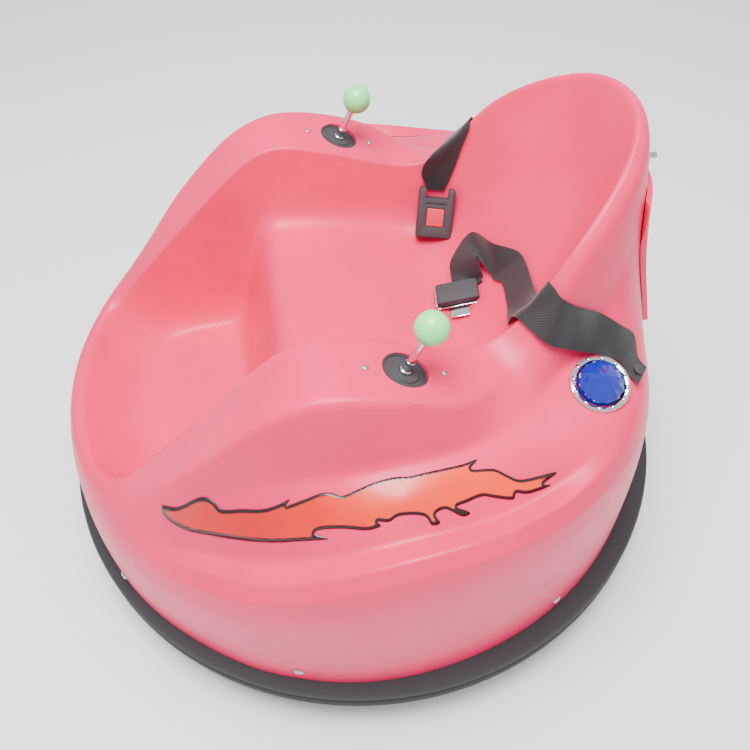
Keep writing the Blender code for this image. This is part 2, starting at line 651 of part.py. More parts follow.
def hinge():
    """A butt hinge along X under the lid: a fixed leaf on the shell, and a leaf and pin on the lid."""
    third = HINGE_HALF / 3
    knuckle = HINGE_KNUCKLE
    face = -knuckle + LEAF_THICK
    fixed = cylinder("hatch_hinge_fixed", knuckle, (GAP - third, 0, 0), (third - GAP, 0, 0), 16)
    place(fixed, STEEL, 0.3, 1.0, ring_plane, pin_at)
    low_leaf = helper(box("low_leaf", (-HINGE_HALF, low_back.y - pin_at.y - SHELL_WALL, -LEAF_HEIGHT),
                          (HINGE_HALF, face, -knuckle - GAP)), ring_plane, pin_at)
    low_neck = helper(box("low_neck", (GAP - third, low_back.y - pin_at.y - SHELL_WALL, -LEAF_HEIGHT / 2),
                          (third - GAP, face, 0)), ring_plane, pin_at)
    bore = helper(cylinder("pin_bore", HINGE_PIN + BORE_GAP, (-HINGE_HALF, 0, 0), (HINGE_HALF, 0, 0), 16),
                  ring_plane, pin_at)
    for other, operation in ((low_leaf, "UNION"), (low_neck, "UNION"), (shell_fit, "DIFFERENCE"),
                             (bore, "DIFFERENCE")):
        combine(fixed, other, operation)

    moving = cylinder("hatch_hinge_lid", HINGE_PIN, (-HINGE_HALF, 0, 0), (HINGE_HALF, 0, 0), 16)
    place(moving, STEEL, 0.3, 1.0, ring_plane, pin_at)
    high_leaf = helper(box("high_leaf", (-HINGE_HALF, high_back.y - pin_at.y - LEAF_HEIGHT, knuckle + GAP),
                           (HINGE_HALF, face, LEAF_HEIGHT)), ring_plane, pin_at)
    combine(moving, high_leaf, "UNION")
    for side in (-1, 1):
        ends = sorted((side * third, side * HINGE_HALF))
        ear = helper(cylinder("ear_%d" % side, knuckle, (ends[0], 0, 0), (ends[1], 0, 0), 16),
                     ring_plane, pin_at)
        neck = helper(box("high_neck_%d" % side, (ends[0], high_back.y - pin_at.y - LEAF_HEIGHT, 0),
                          (ends[1], face, LEAF_HEIGHT / 2)), ring_plane, pin_at)
        combine(combine(moving, ear, "UNION"), neck, "UNION")
    lid_fit = helper(thicken(shell_surface("lid_fit", SEAM + HATCH_WALL + GAP), 0.040, -1), ring_plane)
    combine(moving, lid_fit, "DIFFERENCE")

    latch_z = HATCH_HIGH - HATCH_LAP / 2
    seat, normal, _, _ = TREE.ray_cast(Vector((0, 0.6, latch_z)), Vector((0, -1, 0)))
    latch = turned("hatch_latch", [
        (0, 0.026), (0.0035, 0.026), (0.0035, 0.016), (0.009, 0.015), (0.009, 0.011), (0.006, 0.010),
        (0.006, 0.004), (0, 0.004)], 16)
    place(latch, STEEL, 0.3, 1.0, ring_plane, seat)
    latch.rotation_euler = normal.to_track_quat("Z", "Y").to_euler()
    combine(latch, lid_fit, "DIFFERENCE")


hinge()


# --- Steel frame -------------------------------------------------------------------------------

def frame():
    """A ladder of square tube trimmed to the hoop that holds the rubber ring."""
    low, high = FRAME_TOP - TUBE, FRAME_TOP
    half = TUBE / 2
    reach = RING_RADIUS
    ladder = box("frame_ladder", (RAIL_X - half, -reach, low), (RAIL_X + half, reach, high))
    place(ladder, DARK_STEEL, 0.5, 0.6, ring_plane)
    bars = [box("rail_right", (-RAIL_X - half, -reach, low), (-RAIL_X + half, reach, high))]
    for name, y in (("front", -CASTER_Y), ("middle", 0.0), ("rear", CASTER_Y)):
        width = CASTER_PLATE if y else half
        bars.append(box("cross_" + name, (-RAIL_X, y - width, low), (RAIL_X, y + width, high)))
    for bar in bars:
        combine(ladder, helper(bar, ring_plane), "UNION")
    inside = (HOOP_OUTER - HOOP_WALL) * math.cos(math.pi / RING_STEPS) - GAP
    trim = helper(cylinder("hoop_inside", inside, (0, 0, low - 0.01), (0, 0, high + 0.01), 96), ring_plane)
    combine(ladder, trim, "INTERSECT")
    hoop_inner = HOOP_OUTER - HOOP_WALL
    hoop = turned("frame_hoop", [(hoop_inner, HOOP_HIGH), (HOOP_OUTER, HOOP_HIGH), (HOOP_OUTER, HOOP_LOW),
                                 (hoop_inner, HOOP_LOW)], RING_STEPS)
    place(hoop, DARK_STEEL, 0.5, 0.6, ring_plane)


frame()


# --- Drive wheels ------------------------------------------------------------------------------

def drive(side, word):
    hub_at = Vector((side * WHEEL_X, 0, WHEEL_RADIUS))
    half = WHEEL_WIDTH / 2
    tyre_inner = HUB_RADIUS + GAP
    tyre = turned("drive_tyre_" + word, [
        (tyre_inner, half), (WHEEL_RADIUS - 0.006, half), (WHEEL_RADIUS - 0.001, half - 0.005),
        (WHEEL_RADIUS, half - 0.012), (WHEEL_RADIUS, 0.012 - half), (WHEEL_RADIUS - 0.001, 0.005 - half),
        (WHEEL_RADIUS - 0.006, -half), (tyre_inner, -half)], STEPS)
    place(tyre, RUBBER, 0.7, location=hub_at)
    tyre.rotation_euler = (0, math.radians(90), 0)
    axle_end = BOX_INNER_X + 0.02 - WHEEL_X
    hub = turned("drive_hub_" + word, [
        (0, half - 0.004), (0.016, half - 0.004), (0.020, half - 0.012), (HUB_RADIUS - 0.008, half - 0.012),
        (HUB_RADIUS - 0.004, half - 0.002), (HUB_RADIUS, half - 0.002), (HUB_RADIUS, 0.002 - half),
        (HUB_RADIUS - 0.004, 0.002 - half), (HUB_RADIUS - 0.008, 0.012 - half), (0.020, 0.012 - half),
        (0.016, -half), (AXLE_RADIUS, -half), (AXLE_RADIUS, axle_end), (0, axle_end)], STEPS)
    place(hub, STEEL, 0.5, 0.2, location=hub_at)
    hub.rotation_euler = (0, side * math.radians(90), 0)

    axis = WHEEL_RADIUS - RING_HEIGHT
    plate_low = FRAME_TOP - TUBE - GAP - PLATE_THICK
    gear_half = BOX_SIZE / 2
    ends = sorted((side * BOX_INNER_X, side * BOX_OUTER_X))
    gearmotor = box("gearmotor_" + word, (ends[0], -gear_half, axis - gear_half),
                    (ends[1], gear_half, plate_low - GAP))
    place(gearmotor, DARK_STEEL, 0.45, 0.5, ring_plane)
    can = helper(cylinder("motor_can_" + word, MOTOR_RADIUS, (side * (BOX_INNER_X + 0.004), 0, axis),
                          (side * (BOX_INNER_X - MOTOR_LENGTH), 0, axis)), ring_plane)
    bore = helper(cylinder("axle_bore_" + word, AXLE_RADIUS + BORE_GAP,
                           (side * (BOX_INNER_X + 0.018), 0, axis), (side * (BOX_OUTER_X + 0.01), 0, axis)),
                  ring_plane)
    combine(combine(gearmotor, can, "UNION"), bore, "DIFFERENCE")
    ends = sorted((side * (RAIL_X - TUBE / 2), side * BOX_OUTER_X))
    reach = gear_half + 0.01
    plate = box("motor_plate_" + word, (ends[0], -reach, plate_low),
                (ends[1], reach, plate_low + PLATE_THICK))
    place(plate, DARK_STEEL, 0.5, 0.6, ring_plane)


# --- Casters -----------------------------------------------------------------------------------

def caster(y, word):
    """A swivel caster: its plate under the frame, its fork on the swivel axis, its wheel behind it."""
    floor_to_plate = RING_HEIGHT + FRAME_TOP - TUBE - GAP
    plate_low = floor_to_plate - PLATE_THICK
    swivel = Vector((0, y, 0))
    plate = box("caster_plate_" + word, (-0.046, -CASTER_PLATE, plate_low),
                (0.046, CASTER_PLATE, floor_to_plate))
    head_low = plate_low - CASTER_HEAD
    head = helper(cylinder("caster_head_" + word, 0.022, (0, 0, head_low), (0, 0, plate_low + 0.001)),
                  None, swivel)
    place(combine(plate, head, "UNION"), STEEL, 0.4, 0.8, location=swivel)

    crown_top = head_low - GAP
    crown_low = crown_top - 0.004
    inside = CASTER_WIDTH / 2 + 0.003
    fork = cylinder("caster_fork_" + word, 0.026, (0, 0, crown_low), (0, 0, crown_top))
    place(fork, STEEL, 0.4, 0.8, location=swivel)
    for leg_side in (-1, 1):
        ends = sorted((leg_side * inside, leg_side * (inside + FORK_WALL)))
        name = "%s_%d" % (word, leg_side)
        leg = box("fork_leg_" + name, (ends[0], -0.014, -0.012),
                  (ends[1], 0.014, crown_low - CASTER_WHEEL + 0.002))
        lean = Matrix.Identity(4)
        lean[1][2] = -CASTER_TRAIL / (crown_low - CASTER_WHEEL)
        leg.data.transform(Matrix.Translation((0, CASTER_TRAIL, CASTER_WHEEL)) @ lean)
        combine(fork, helper(leg, None, swivel), "UNION")
    reach = inside + FORK_WALL + 0.003
    bolt_hole = helper(cylinder("bolt_hole_" + word, CASTER_BOLT + GAP, (-reach, CASTER_TRAIL, CASTER_WHEEL),
                                (reach, CASTER_TRAIL, CASTER_WHEEL), 16), None, swivel)
    combine(fork, bolt_hole, "DIFFERENCE")
    axle = cylinder("caster_axle_" + word, CASTER_BOLT, (-reach, 0, 0), (reach, 0, 0), 16)
    place(axle, STEEL, 0.3, 1.0, location=swivel + Vector((0, CASTER_TRAIL, CASTER_WHEEL)))
    half = CASTER_WIDTH / 2
    bore = CASTER_BOLT + BORE_GAP
    wheel = turned("caster_wheel_" + word, [
        (bore, half), (0.012, half), (0.014, half - 0.004), (CASTER_WHEEL - 0.008, half - 0.004),
        (CASTER_WHEEL - 0.005, half), (CASTER_WHEEL, half - 0.006), (CASTER_WHEEL, 0.006 - half),
        (CASTER_WHEEL - 0.005, -half), (CASTER_WHEEL - 0.008, 0.004 - half), (0.014, 0.004 - half),
        (0.012, -half), (bore, -half)])
    place(wheel, BLACK, 0.6, location=swivel + Vector((0, CASTER_TRAIL, CASTER_WHEEL)))
    wheel.rotation_euler = (0, math.radians(90), 0)


for side, word in ((1, "left"), (-1, "right")):
    drive(side, word)
for y, word in ((-CASTER_Y, "front"), (CASTER_Y, "rear")):
    caster(y, word)


# --- Battery and controller --------------------------------------------------------------------

def electrics():
    top = FRAME_TOP + GAP
    wide, deep, high = BATTERY
    edge = 0.012
    tray_half = RAIL_X + TUBE / 2
    tray = box("battery_tray", (-tray_half, BATTERY_Y - deep / 2 - edge, top),
               (tray_half, BATTERY_Y + deep / 2 + edge, top + TRAY_THICK))
    place(tray, DARK_STEEL, 0.5, 0.6, ring_plane)
    foot = top + TRAY_THICK + GAP
    battery = box("battery", (-wide / 2, BATTERY_Y - deep / 2, foot),
                  (wide / 2, BATTERY_Y + deep / 2, foot + high), 0.003)
    place(battery, BLACK, 0.5, parent=ring_plane)
    wide, deep, high = CONTROLLER
    controller = box("controller_box", (-wide / 2, -deep / 2, top), (wide / 2, deep / 2, top + high), 0.002)
    place(controller, DARK_STEEL, 0.4, 0.5, ring_plane)


electrics()
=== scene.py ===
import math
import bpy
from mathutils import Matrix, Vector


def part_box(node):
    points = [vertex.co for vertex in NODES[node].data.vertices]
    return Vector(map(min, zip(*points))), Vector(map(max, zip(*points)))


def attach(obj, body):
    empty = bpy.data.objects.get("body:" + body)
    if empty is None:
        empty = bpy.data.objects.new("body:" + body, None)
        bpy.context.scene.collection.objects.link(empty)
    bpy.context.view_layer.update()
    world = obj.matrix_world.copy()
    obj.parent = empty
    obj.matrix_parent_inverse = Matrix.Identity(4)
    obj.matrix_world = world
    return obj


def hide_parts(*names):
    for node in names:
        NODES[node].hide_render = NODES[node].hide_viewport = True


bl_info = {
    "name": "Child's Bumper Car",
    "version": (1, 0, 0),
    "blender": (4, 5, 0),
    "location": "View3D > Sidebar > Bumper Car",
    "description": "Round moulded bumper car with two joysticks, lamps and a lap belt",
    "category": "Object",
}

import bmesh
import bpy
from mathutils import Matrix, Vector
from mathutils.bvhtree import BVHTree
from mathutils.geometry import delaunay_2d_cdt

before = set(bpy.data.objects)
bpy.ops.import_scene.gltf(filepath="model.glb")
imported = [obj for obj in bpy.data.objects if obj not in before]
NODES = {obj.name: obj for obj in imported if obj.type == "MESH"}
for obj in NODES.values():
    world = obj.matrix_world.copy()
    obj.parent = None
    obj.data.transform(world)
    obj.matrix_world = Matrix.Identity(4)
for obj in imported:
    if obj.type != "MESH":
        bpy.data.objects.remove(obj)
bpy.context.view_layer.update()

# --- Sizes of the moulding, in metres -----------------------------------------------------------

RING_PLANE = 0.070  # floor to the ring's middle plane; the moulding's heights start there
SHELL_RADIUS = 0.389
CAGE_SWELL = 1.009  # a soft surface lies inside its cage
SHELL_SHIFT = -0.008
SHELL_WALL = 0.005
SHELL_FOOT = 0.0213
BOWL_RIM = 0.150
ARM_TOP = 0.368
PANEL_TOP = 0.348
DECK_TOP = 0.292
BACK_TOP = 0.492
FLOOR_TOP = 0.095
SEAT_FRONT = 0.262
SEAT_REAR = 0.212
INNER_HALF = 0.163
PANEL_WIDTH = 0.083
SEAM = 0.0009
HATCH_WALL = 0.006
STICK_LEAN = math.radians(25.8)
STICK_TILT = math.radians(2.8)
STICK_HOLE = 0.0243
BALL_HEIGHT = 0.057  # panel to the middle of a joystick's ball
SIDES = ((1, "left"), (-1, "right"))


# --- Mesh helpers -------------------------------------------------------------------------------

def link(obj):
    bpy.context.scene.collection.objects.link(obj)
    return obj


def from_bmesh(name, shape, smooth=35):
    """A linked object from a bmesh, smooth up to an angle in degrees."""
    bmesh.ops.recalc_face_normals(shape, faces=shape.faces)
    mesh = bpy.data.meshes.new(name)
    shape.to_mesh(mesh)
    shape.free()
    mesh.set_sharp_from_angle(angle=math.radians(smooth))
    for polygon in mesh.polygons:
        polygon.use_smooth = True
    return link(bpy.data.objects.new(name, mesh))


def box(name, low, high, bevel=0.0, segments=2):
    shape = bmesh.new()
    bmesh.ops.create_cube(shape, size=1.0)
    low, high = Vector(low), Vector(high)
    for vert in shape.verts:
        vert.co = Vector(low[i] + (vert.co[i] + 0.5) * (high[i] - low[i]) for i in range(3))
    if bevel:
        bmesh.ops.bevel(shape, geom=shape.edges, offset=bevel, segments=segments, profile=0.5, affect="EDGES")
    return from_bmesh(name, shape)


def turned(name, profile, steps=64, smooth=35):
    """A solid of revolution about Z: the profile runs from the top to the bottom."""
    shape = bmesh.new()
    rows = []
    for radius, height in profile:
        if radius < 1e-6:
            rows.append([shape.verts.new((0, 0, height))])
            continue
        rows.append([shape.verts.new((radius * math.cos(2 * math.pi * k / steps),
                                      radius * math.sin(2 * math.pi * k / steps), height)) for k in range(steps)])
    closed = len(rows[0]) > 1
    pairs = list(zip(rows, rows[1:])) + ([(rows[-1], rows[0])] if closed else [])
    for upper, lower in pairs:
        for k in range(steps):
            after = (k + 1) % steps
            corners = list(dict.fromkeys((upper[k % len(upper)], lower[k % len(lower)],
                                          lower[after % len(lower)], upper[after % len(upper)])))
            if len(corners) > 2:
                shape.faces.new(corners)
    return from_bmesh(name, shape, smooth)


def rod(name, radius, start, end, steps=24):
    """A round bar between two points, its rims eased."""
    start, end = Vector(start), Vector(end)
    length = (end - start).length
    ease = min(radius * 0.2, 0.0006)
    made = turned(name, [(0, length), (radius - ease, length), (radius, length - ease), (radius, ease),
                         (radius - ease, 0), (0, 0)], steps)
    made.data.transform(upright(start, end - start))
    return made


def upright(point, normal):
    """Placement at the point with Z along the normal."""
    return Matrix.Translation(point) @ Vector(normal).to_track_quat("Z", "Y").to_matrix().to_4x4()


def moved(obj, placement):
    obj.data.transform(placement)
    return obj


def combine(target, other, operation):
    """A Boolean with a shape that is used up by it."""
    cut = target.modifiers.new(operation.lower(), "BOOLEAN")
    cut.operation = operation
    cut.solver = "EXACT"
    cut.object = other
    apply_all(target)
    bpy.data.objects.remove(other)
    return target


def apply_all(obj):
    """Turns the object and its modifiers into one plain mesh."""
    bpy.context.view_layer.update()
    evaluated = obj.evaluated_get(bpy.context.evaluated_depsgraph_get())
    mesh = bpy.data.meshes.new_from_object(evaluated)
    obj.modifiers.clear()
    obj.data = mesh
    mesh.name = obj.name
    return obj


def softened(obj, width, segments=2, angle=35):
    """Rounds the hard edges and shades the rest smooth."""
    bevel = obj.modifiers.new("eased", "BEVEL")
    bevel.width = width
    bevel.segments = segments
    bevel.limit_method = "ANGLE"
    bevel.angle_limit = math.radians(angle)
    bevel.harden_normals = False
    apply_all(obj)
    return smooth_to(obj, angle)


def smooth_to(obj, angle=35):
    for polygon in obj.data.polygons:
        polygon.use_smooth = True
    obj.data.set_sharp_from_angle(angle=math.radians(angle))
    return obj


def joined(name, *parts):
    """Several meshes as one piece."""
    shape = bmesh.new()
    for part in parts:
        shape.from_mesh(part.data)
        bpy.data.objects.remove(part)
    mesh = bpy.data.meshes.new(name)
    shape.to_mesh(mesh)
    shape.free()
    made = link(bpy.data.objects.new(name, mesh))
    return smooth_to(made)


def piece(obj, body, slot, paint, *nodes):
    """Finishes a piece: its material, its body and the CAD nodes that it stands for, which it hides. The slot is
    not used.
    """
    obj.data.materials.clear()
    obj.data.materials.append(paint)
    for polygon in obj.data.polygons:
        polygon.material_index = 0
    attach(obj, body)
    if nodes:
        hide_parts(*nodes)
    return obj


def middle(node):
    low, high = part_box(node)
    return (low + high) / 2


def centroid(node):
    points = [v.co for v in NODES[node].data.vertices]
    return sum(points, Vector()) / len(points)


# --- Materials ----------------------------------------------------------------------------------

def linear(colour):
    """An sRGB hex colour as linear red, green, blue, alpha."""
    values = [int(colour[i:i + 2], 16) / 255 for i in (1, 3, 5)]
    return tuple(v / 12.92 if v <= 0.04045 else ((v + 0.055) / 1.055) ** 2.4 for v in values) + (1.0,)


def add(tree, kind, settings=None, **sockets):
    """Adds a node. A socket given as a node's output is linked, and anything else is its value."""
    node = tree.nodes.new(kind)
    for key, value in (settings or {}).items():
        setattr(node, key, value)
    for key, value in sockets.items():
        key = key.replace("_", " ")
        socket = node.inputs[int(key[1:])] if key[0] == "i" and key[1:].isdigit() else node.inputs[key]
        if isinstance(value, bpy.types.NodeSocket):
            tree.links.new(value, socket)
        else:
            socket.default_value = value
    return node


def finish(name, colour, spread, patch=60, rough=(0.3, 0.4), grain=1.0, depth=0.02, fleck=None, **shader):
    """A moulded, plated or painted finish: patches of two tones, changing gloss and a fine grain.

    patch, grain and depth are in millimetres. shader holds the shader's own constants."""
    mat = bpy.data.materials.new(name)
    mat.use_nodes = True
    tree = mat.node_tree
    bsdf = tree.nodes["Principled BSDF"]
    for key, value in shader.items():
        bsdf.inputs[key.replace("_", " ")].default_value = value
    at = add(tree, "ShaderNodeTexCoord").outputs["Object"]
    cloud = add(tree, "ShaderNodeTexNoise", Vector=at, Scale=1000 / patch, Detail=5.0,
                Roughness=0.55).outputs["Fac"]
    tone = add(tree, "ShaderNodeValToRGB", Fac=cloud)
    tone.color_ramp.elements[0].position = 0.35
    tone.color_ramp.elements[0].color = tuple(v * (1 - spread) for v in colour[:3]) + (1.0,)
    tone.color_ramp.elements[1].position = 0.65
    tone.color_ramp.elements[1].color = tuple(min(1.0, v * (1 + spread)) for v in colour[:3]) + (1.0,)
    colour = tone.outputs["Color"]
    if fleck:
        shade, size, share = fleck
        specks = add(tree, "ShaderNodeTexNoise", Vector=at, Scale=1000 / size, Detail=2.0).outputs["Fac"]
        mask = add(tree, "ShaderNodeMapRange", Value=specks, From_Min=1 - share, From_Max=1 - share + 0.03)
        mix = add(tree, "ShaderNodeMix", {"data_type": "RGBA"}, i0=mask.outputs["Result"], i6=colour,
                  i7=linear(shade))
        colour = mix.outputs[2]
    tree.links.new(colour, bsdf.inputs["Base Color"])
    streak = add(tree, "ShaderNodeTexNoise", Vector=at, Scale=4000 / patch, Detail=3.0).outputs["Fac"]
    gloss = add(tree, "ShaderNodeMapRange", Value=streak, From_Min=0.3, From_Max=0.7,
                To_Min=rough[0], To_Max=rough[1])
    tree.links.new(gloss.outputs["Result"], bsdf.inputs["Roughness"])
    fine = add(tree, "ShaderNodeTexNoise", Vector=at, Scale=1000 / grain, Detail=2.0).outputs["Fac"]
    bump = add(tree, "ShaderNodeBump", Height=fine, Strength=0.6, Distance=depth / 1000)
    tree.links.new(bump.outputs["Normal"], bsdf.inputs["Normal"])
    return mat


# --- The moulding's cage, in metres over the ring's middle plane ---------------------------------

def around(azimuth, radius, height):
    """A point of the outer wall, about the shell's own middle."""
    angle = math.radians(azimuth)
    radius *= CAGE_SWELL
    return (radius * math.cos(angle), SHELL_SHIFT + radius * math.sin(angle), height)


def outer(azimuth, top, *steps):
    """The outer wall from the foot up: each step is (inset from the shell radius, drop from top)."""
    wall = [around(azimuth, SHELL_RADIUS, SHELL_FOOT)]
    wall += [around(azimuth, SHELL_RADIUS - inset, top - drop) for inset, drop in steps]
    return wall


def column(wall, crest_out, crest_in, mid, low, edge, centre_y, centre_z):
    """One column of the cage, from the wall's foot over the crest to the centre line."""
    out, inner = Vector(crest_out), Vector(crest_in)
    middle = (out + inner) / 2
    lip = inner + (Vector(mid) - inner).normalized() * 0.014
    half = (edge[0] / 2, (edge[1] + centre_y) / 2, (edge[2] + centre_z) / 2)
    centre = (0, centre_y, centre_z)
    return [*wall, crest_out, tuple(middle), crest_in, tuple(lip), mid, low, edge, half, centre]


def shell_columns():
    """Columns of the cage's +X half, from the front centre line round to the rear one."""
    arm_out = INNER_HALF + PANEL_WIDTH
    floor = FLOOR_TOP
    return [
        column(outer(-90, BOWL_RIM, (0, 0.095), (0.003, 0.068), (0.006, 0.046), (0.009, 0.030),
                     (0.012, 0.019), (0.0145, 0.011), (0.017, 0.005), (0.020, 0.001)),
               (0, -0.375, BOWL_RIM + 0.001), (0, -0.366, BOWL_RIM - 0.001), (0, -0.345, 0.124), (0,
               -0.322, 0.105), (0, -0.298, floor), -0.245, floor),
        column(outer(-74, BOWL_RIM, (0, 0.095), (0.003, 0.068), (0.006, 0.046), (0.009, 0.030),
                     (0.012, 0.019), (0.0145, 0.011), (0.017, 0.005), (0.020, 0.001)),
               (0.100, -0.360, BOWL_RIM + 0.001), (0.095, -0.350, BOWL_RIM - 0.001), (0.088, -0.329,
               0.125), (0.082, -0.308, 0.105), (0.075, -0.289, floor), -0.215, floor),
        column(outer(-58, 0.165, (0, 0.107), (0.003, 0.077), (0.007, 0.053), (0.011, 0.037),
                     (0.016, 0.024), (0.020, 0.015), (0.025, 0.007), (0.031, 0.001)),
               (0.184, -0.306, 0.168), (0.156, -0.321, 0.154), (0.148, -0.296, 0.128), (0.139, -0.276,
               0.106), (0.124, -0.262, floor), -0.190, floor),
        column(outer(-45, 0.232, (0, 0.172), (0.002, 0.128), (0.006, 0.096), (0.013, 0.074),
                     (0.023, 0.060), (0.037, 0.050), (0.051, 0.034), (0.061, 0.014)),
               (0.222, -0.246, 0.236), (INNER_HALF, -0.252, 0.220), (0.157, -0.238, 0.150), (0.152,
               -0.230, 0.110), (0.138, -0.222, floor), -0.170, floor),
        column(outer(-31, 0.298, (0, 0.236), (0.002, 0.180), (0.005, 0.148), (0.014, 0.122),
                     (0.028, 0.108), (0.049, 0.100), (0.067, 0.066), (0.089, 0.030)),
               (0.236, -0.176, 0.302), (INNER_HALF, -0.176, 0.292), (0.157, -0.172, 0.170), (0.152,
               -0.170, 0.110), (0.138, -0.167, floor), -0.160, floor),
        column(outer(-23, 0.340, (0, 0.276), (0.002, 0.210), (0.005, 0.176), (0.013, 0.150),
                     (0.027, 0.136), (0.051, 0.128), (0.075, 0.092), (0.105, 0.056)),
               (0.240, -0.128, 0.345), (INNER_HALF, -0.130, 0.337), (0.157, -0.142, 0.210), (0.152,
               -0.143, 0.122), (0.138, -0.144, 0.103), -0.146, 0.101),
        column(outer(-14, ARM_TOP, (0, 0.300), (0.002, 0.218), (0.005, 0.178), (0.013, 0.150),
                     (0.028, 0.136), (0.052, 0.136), (0.079, 0.106), (0.113, 0.084)),
               (arm_out - 0.004, -0.082, ARM_TOP - 0.002), (INNER_HALF, -0.086, ARM_TOP), (0.157,
               -0.100, 0.312), (0.152, -0.108, 0.272), (0.138, -0.108, SEAT_FRONT - 0.010), -0.109,
               SEAT_FRONT - 0.012),
        column(outer(-7, 0.362, (0, 0.292), (0.002, 0.200), (0.005, 0.154), (0.013, 0.124),
                     (0.028, 0.110), (0.052, 0.114), (0.080, 0.088), (0.116, 0.074)),
               (arm_out + 0.001, -0.042, 0.365), (INNER_HALF, -0.044, 0.363), (0.156, -0.060, 0.312),
               (0.151, -0.074, 0.276), (0.138, -0.082, SEAT_FRONT), -0.086, SEAT_FRONT - 0.001),
        column(outer(3, PANEL_TOP, (0, 0.276), (0.002, 0.176), (0.005, 0.124), (0.013, 0.094),
                     (0.028, 0.080), (0.052, 0.090), (0.081, 0.067), (0.117, 0.058)),
               (arm_out + 0.002, 0.014, PANEL_TOP + 0.003), (INNER_HALF, 0.012, PANEL_TOP - 0.003),
               (0.155, 0.008, 0.300), (0.150, 0.006, 0.266), (0.136, 0.004, 0.248), 0.0, 0.246),
        column(outer(17, 0.322, (0, 0.246), (0.002, 0.152), (0.004, 0.104), (0.011, 0.076),
                     (0.024, 0.062), (0.048, 0.078), (0.077, 0.048), (0.111, 0.036)),
               (arm_out + 0.004, 0.076, 0.325), (INNER_HALF + 0.004, 0.074, 0.316), (0.158, 0.076,
               0.274), (0.151, 0.078, 0.246), (0.132, 0.080, 0.226), 0.086, 0.220),
        column(outer(30, DECK_TOP, (0, 0.216), (0.002, 0.132), (0.004, 0.086), (0.009, 0.056),
                     (0.021, 0.035), (0.041, 0.034), (0.071, 0.014), (0.109, 0.002)),
               (0.192, 0.128, DECK_TOP + 0.004), (0.158, 0.128, 0.313), (0.150, 0.122, 0.278), (0.142,
               0.120, 0.246), (0.122, 0.118, 0.222), 0.126, SEAT_REAR),
        column(outer(42, DECK_TOP, (0, 0.216), (0.002, 0.132), (0.004, 0.082), (0.009, 0.046),
                     (0.018, 0.020), (0.031, 0.005), (0.059, 0), (0.117, 0)),
               (0.174, 0.172, 0.344), (0.153, 0.162, 0.355), (0.145, 0.158, 0.310), (0.134, 0.154,
               0.266), (0.112, 0.150, 0.238), 0.152, 0.232),
        column(outer(54, DECK_TOP, (0.001, 0.218), (0.004, 0.152), (0.010, 0.102), (0.017, 0.056),
                     (0.025, 0.024), (0.037, 0.006), (0.067, -0.001), (0.101, -0.004)),
               (0.158, 0.204, 0.398), (0.144, 0.192, 0.408), (0.136, 0.188, 0.364), (0.122, 0.184,
               0.316), (0.102, 0.178, 0.278), 0.176, 0.262),
        column(outer(66, 0.300, (0, 0.226), (0.006, 0.175), (0.015, 0.140), (0.025, 0.100),
                     (0.037, 0.056), (0.051, 0.016), (0.067, -0.022), (0.083, -0.084)),
               (0.121, 0.262, 0.442), (0.109, 0.246, 0.453), (0.102, 0.238, 0.414), (0.089, 0.228,
               0.368), (0.070, 0.218, 0.326), 0.212, 0.304),
        column(outer(78, 0.300, (0, 0.226), (0.005, 0.175), (0.014, 0.135), (0.023, 0.092),
                     (0.035, 0.048), (0.047, 0), (0.056, -0.045), (0.063, -0.100)),
               (0.065, 0.303, 0.474), (0.059, 0.287, 0.484), (0.053, 0.278, 0.450), (0.045, 0.268,
               0.408), (0.034, 0.254, 0.368), 0.246, 0.350),
        column(outer(90, 0.300, (0, 0.226), (0.005, 0.175), (0.013, 0.135), (0.022, 0.092),
                     (0.033, 0.046), (0.043, -0.002), (0.051, -0.050), (0.057, -0.108)),
               (0, 0.316, BACK_TOP - 0.010), (0, 0.299, BACK_TOP), (0, 0.290, 0.458), (0, 0.281,
               0.422), (0, 0.271, 0.396), 0.262, 0.378),
    ]


# Firm lines of the moulding: row, first and last column, crease
FOLDS = ((4, 3, 12, 0.75), (5, 3, 11, 0.85), (6, 3, 11, 0.75), (8, 3, 11, 0.8), (8, 11, 15, 0.6),
         (9, 3, 11, 0.75), (11, 2, 11, 0.5), (15, 1, 6, 0.4))


def shell_surface(name, offset=0.0, levels=None):
    """The moulding's outer surface, open below, moved out by offset, above the floor."""
    columns = shell_columns()
    across, up = len(columns), len(columns[0])
    shape = bmesh.new()
    bmesh.ops.create_grid(shape, x_segments=across - 1, y_segments=up - 1, size=1.0)
    shape.verts.ensure_lookup_table()
    sharp = shape.edges.layers.float.new("crease_edge")
    for row in range(up):
        for column_at, points in enumerate(columns):
            x, y, z = points[row]
            shape.verts[row * across + column_at].co = (x, y, z + RING_PLANE)
    for row, first, last, crease in FOLDS:
        for column_at in range(first, last):
            start = shape.verts[row * across + column_at]
            edge = next(e for e in start.link_edges if e.other_vert(start).index == start.index + 1)
            edge[sharp] = crease
    made = from_bmesh(name, shape, smooth=180)
    mirror = made.modifiers.new("other_side", "MIRROR")
    mirror.merge_threshold = 0.0001
    soft = made.modifiers.new("soft", "SUBSURF")
    soft.levels = soft.render_levels = levels or (3)
    if offset:
        move = made.modifiers.new("offset", "DISPLACE")
        move.mid_level = 0.0
        move.strength = offset
    return made


def thicken(obj, thickness, offset):
    wall = obj.modifiers.new("wall", "SOLIDIFY")
    wall.thickness = thickness
    wall.offset = offset
    wall.use_even_offset = True
    return obj


def surface_tree():
    """The smooth outer surface, to lay pieces on."""
    skin = apply_all(shell_surface("skin", levels=3))
    mesh = skin.data
    tree = BVHTree.FromPolygons([v.co.copy() for v in mesh.vertices],
                                [tuple(p.vertices) for p in mesh.polygons])
    bpy.data.objects.remove(skin)
    return tree


TREE = surface_tree()


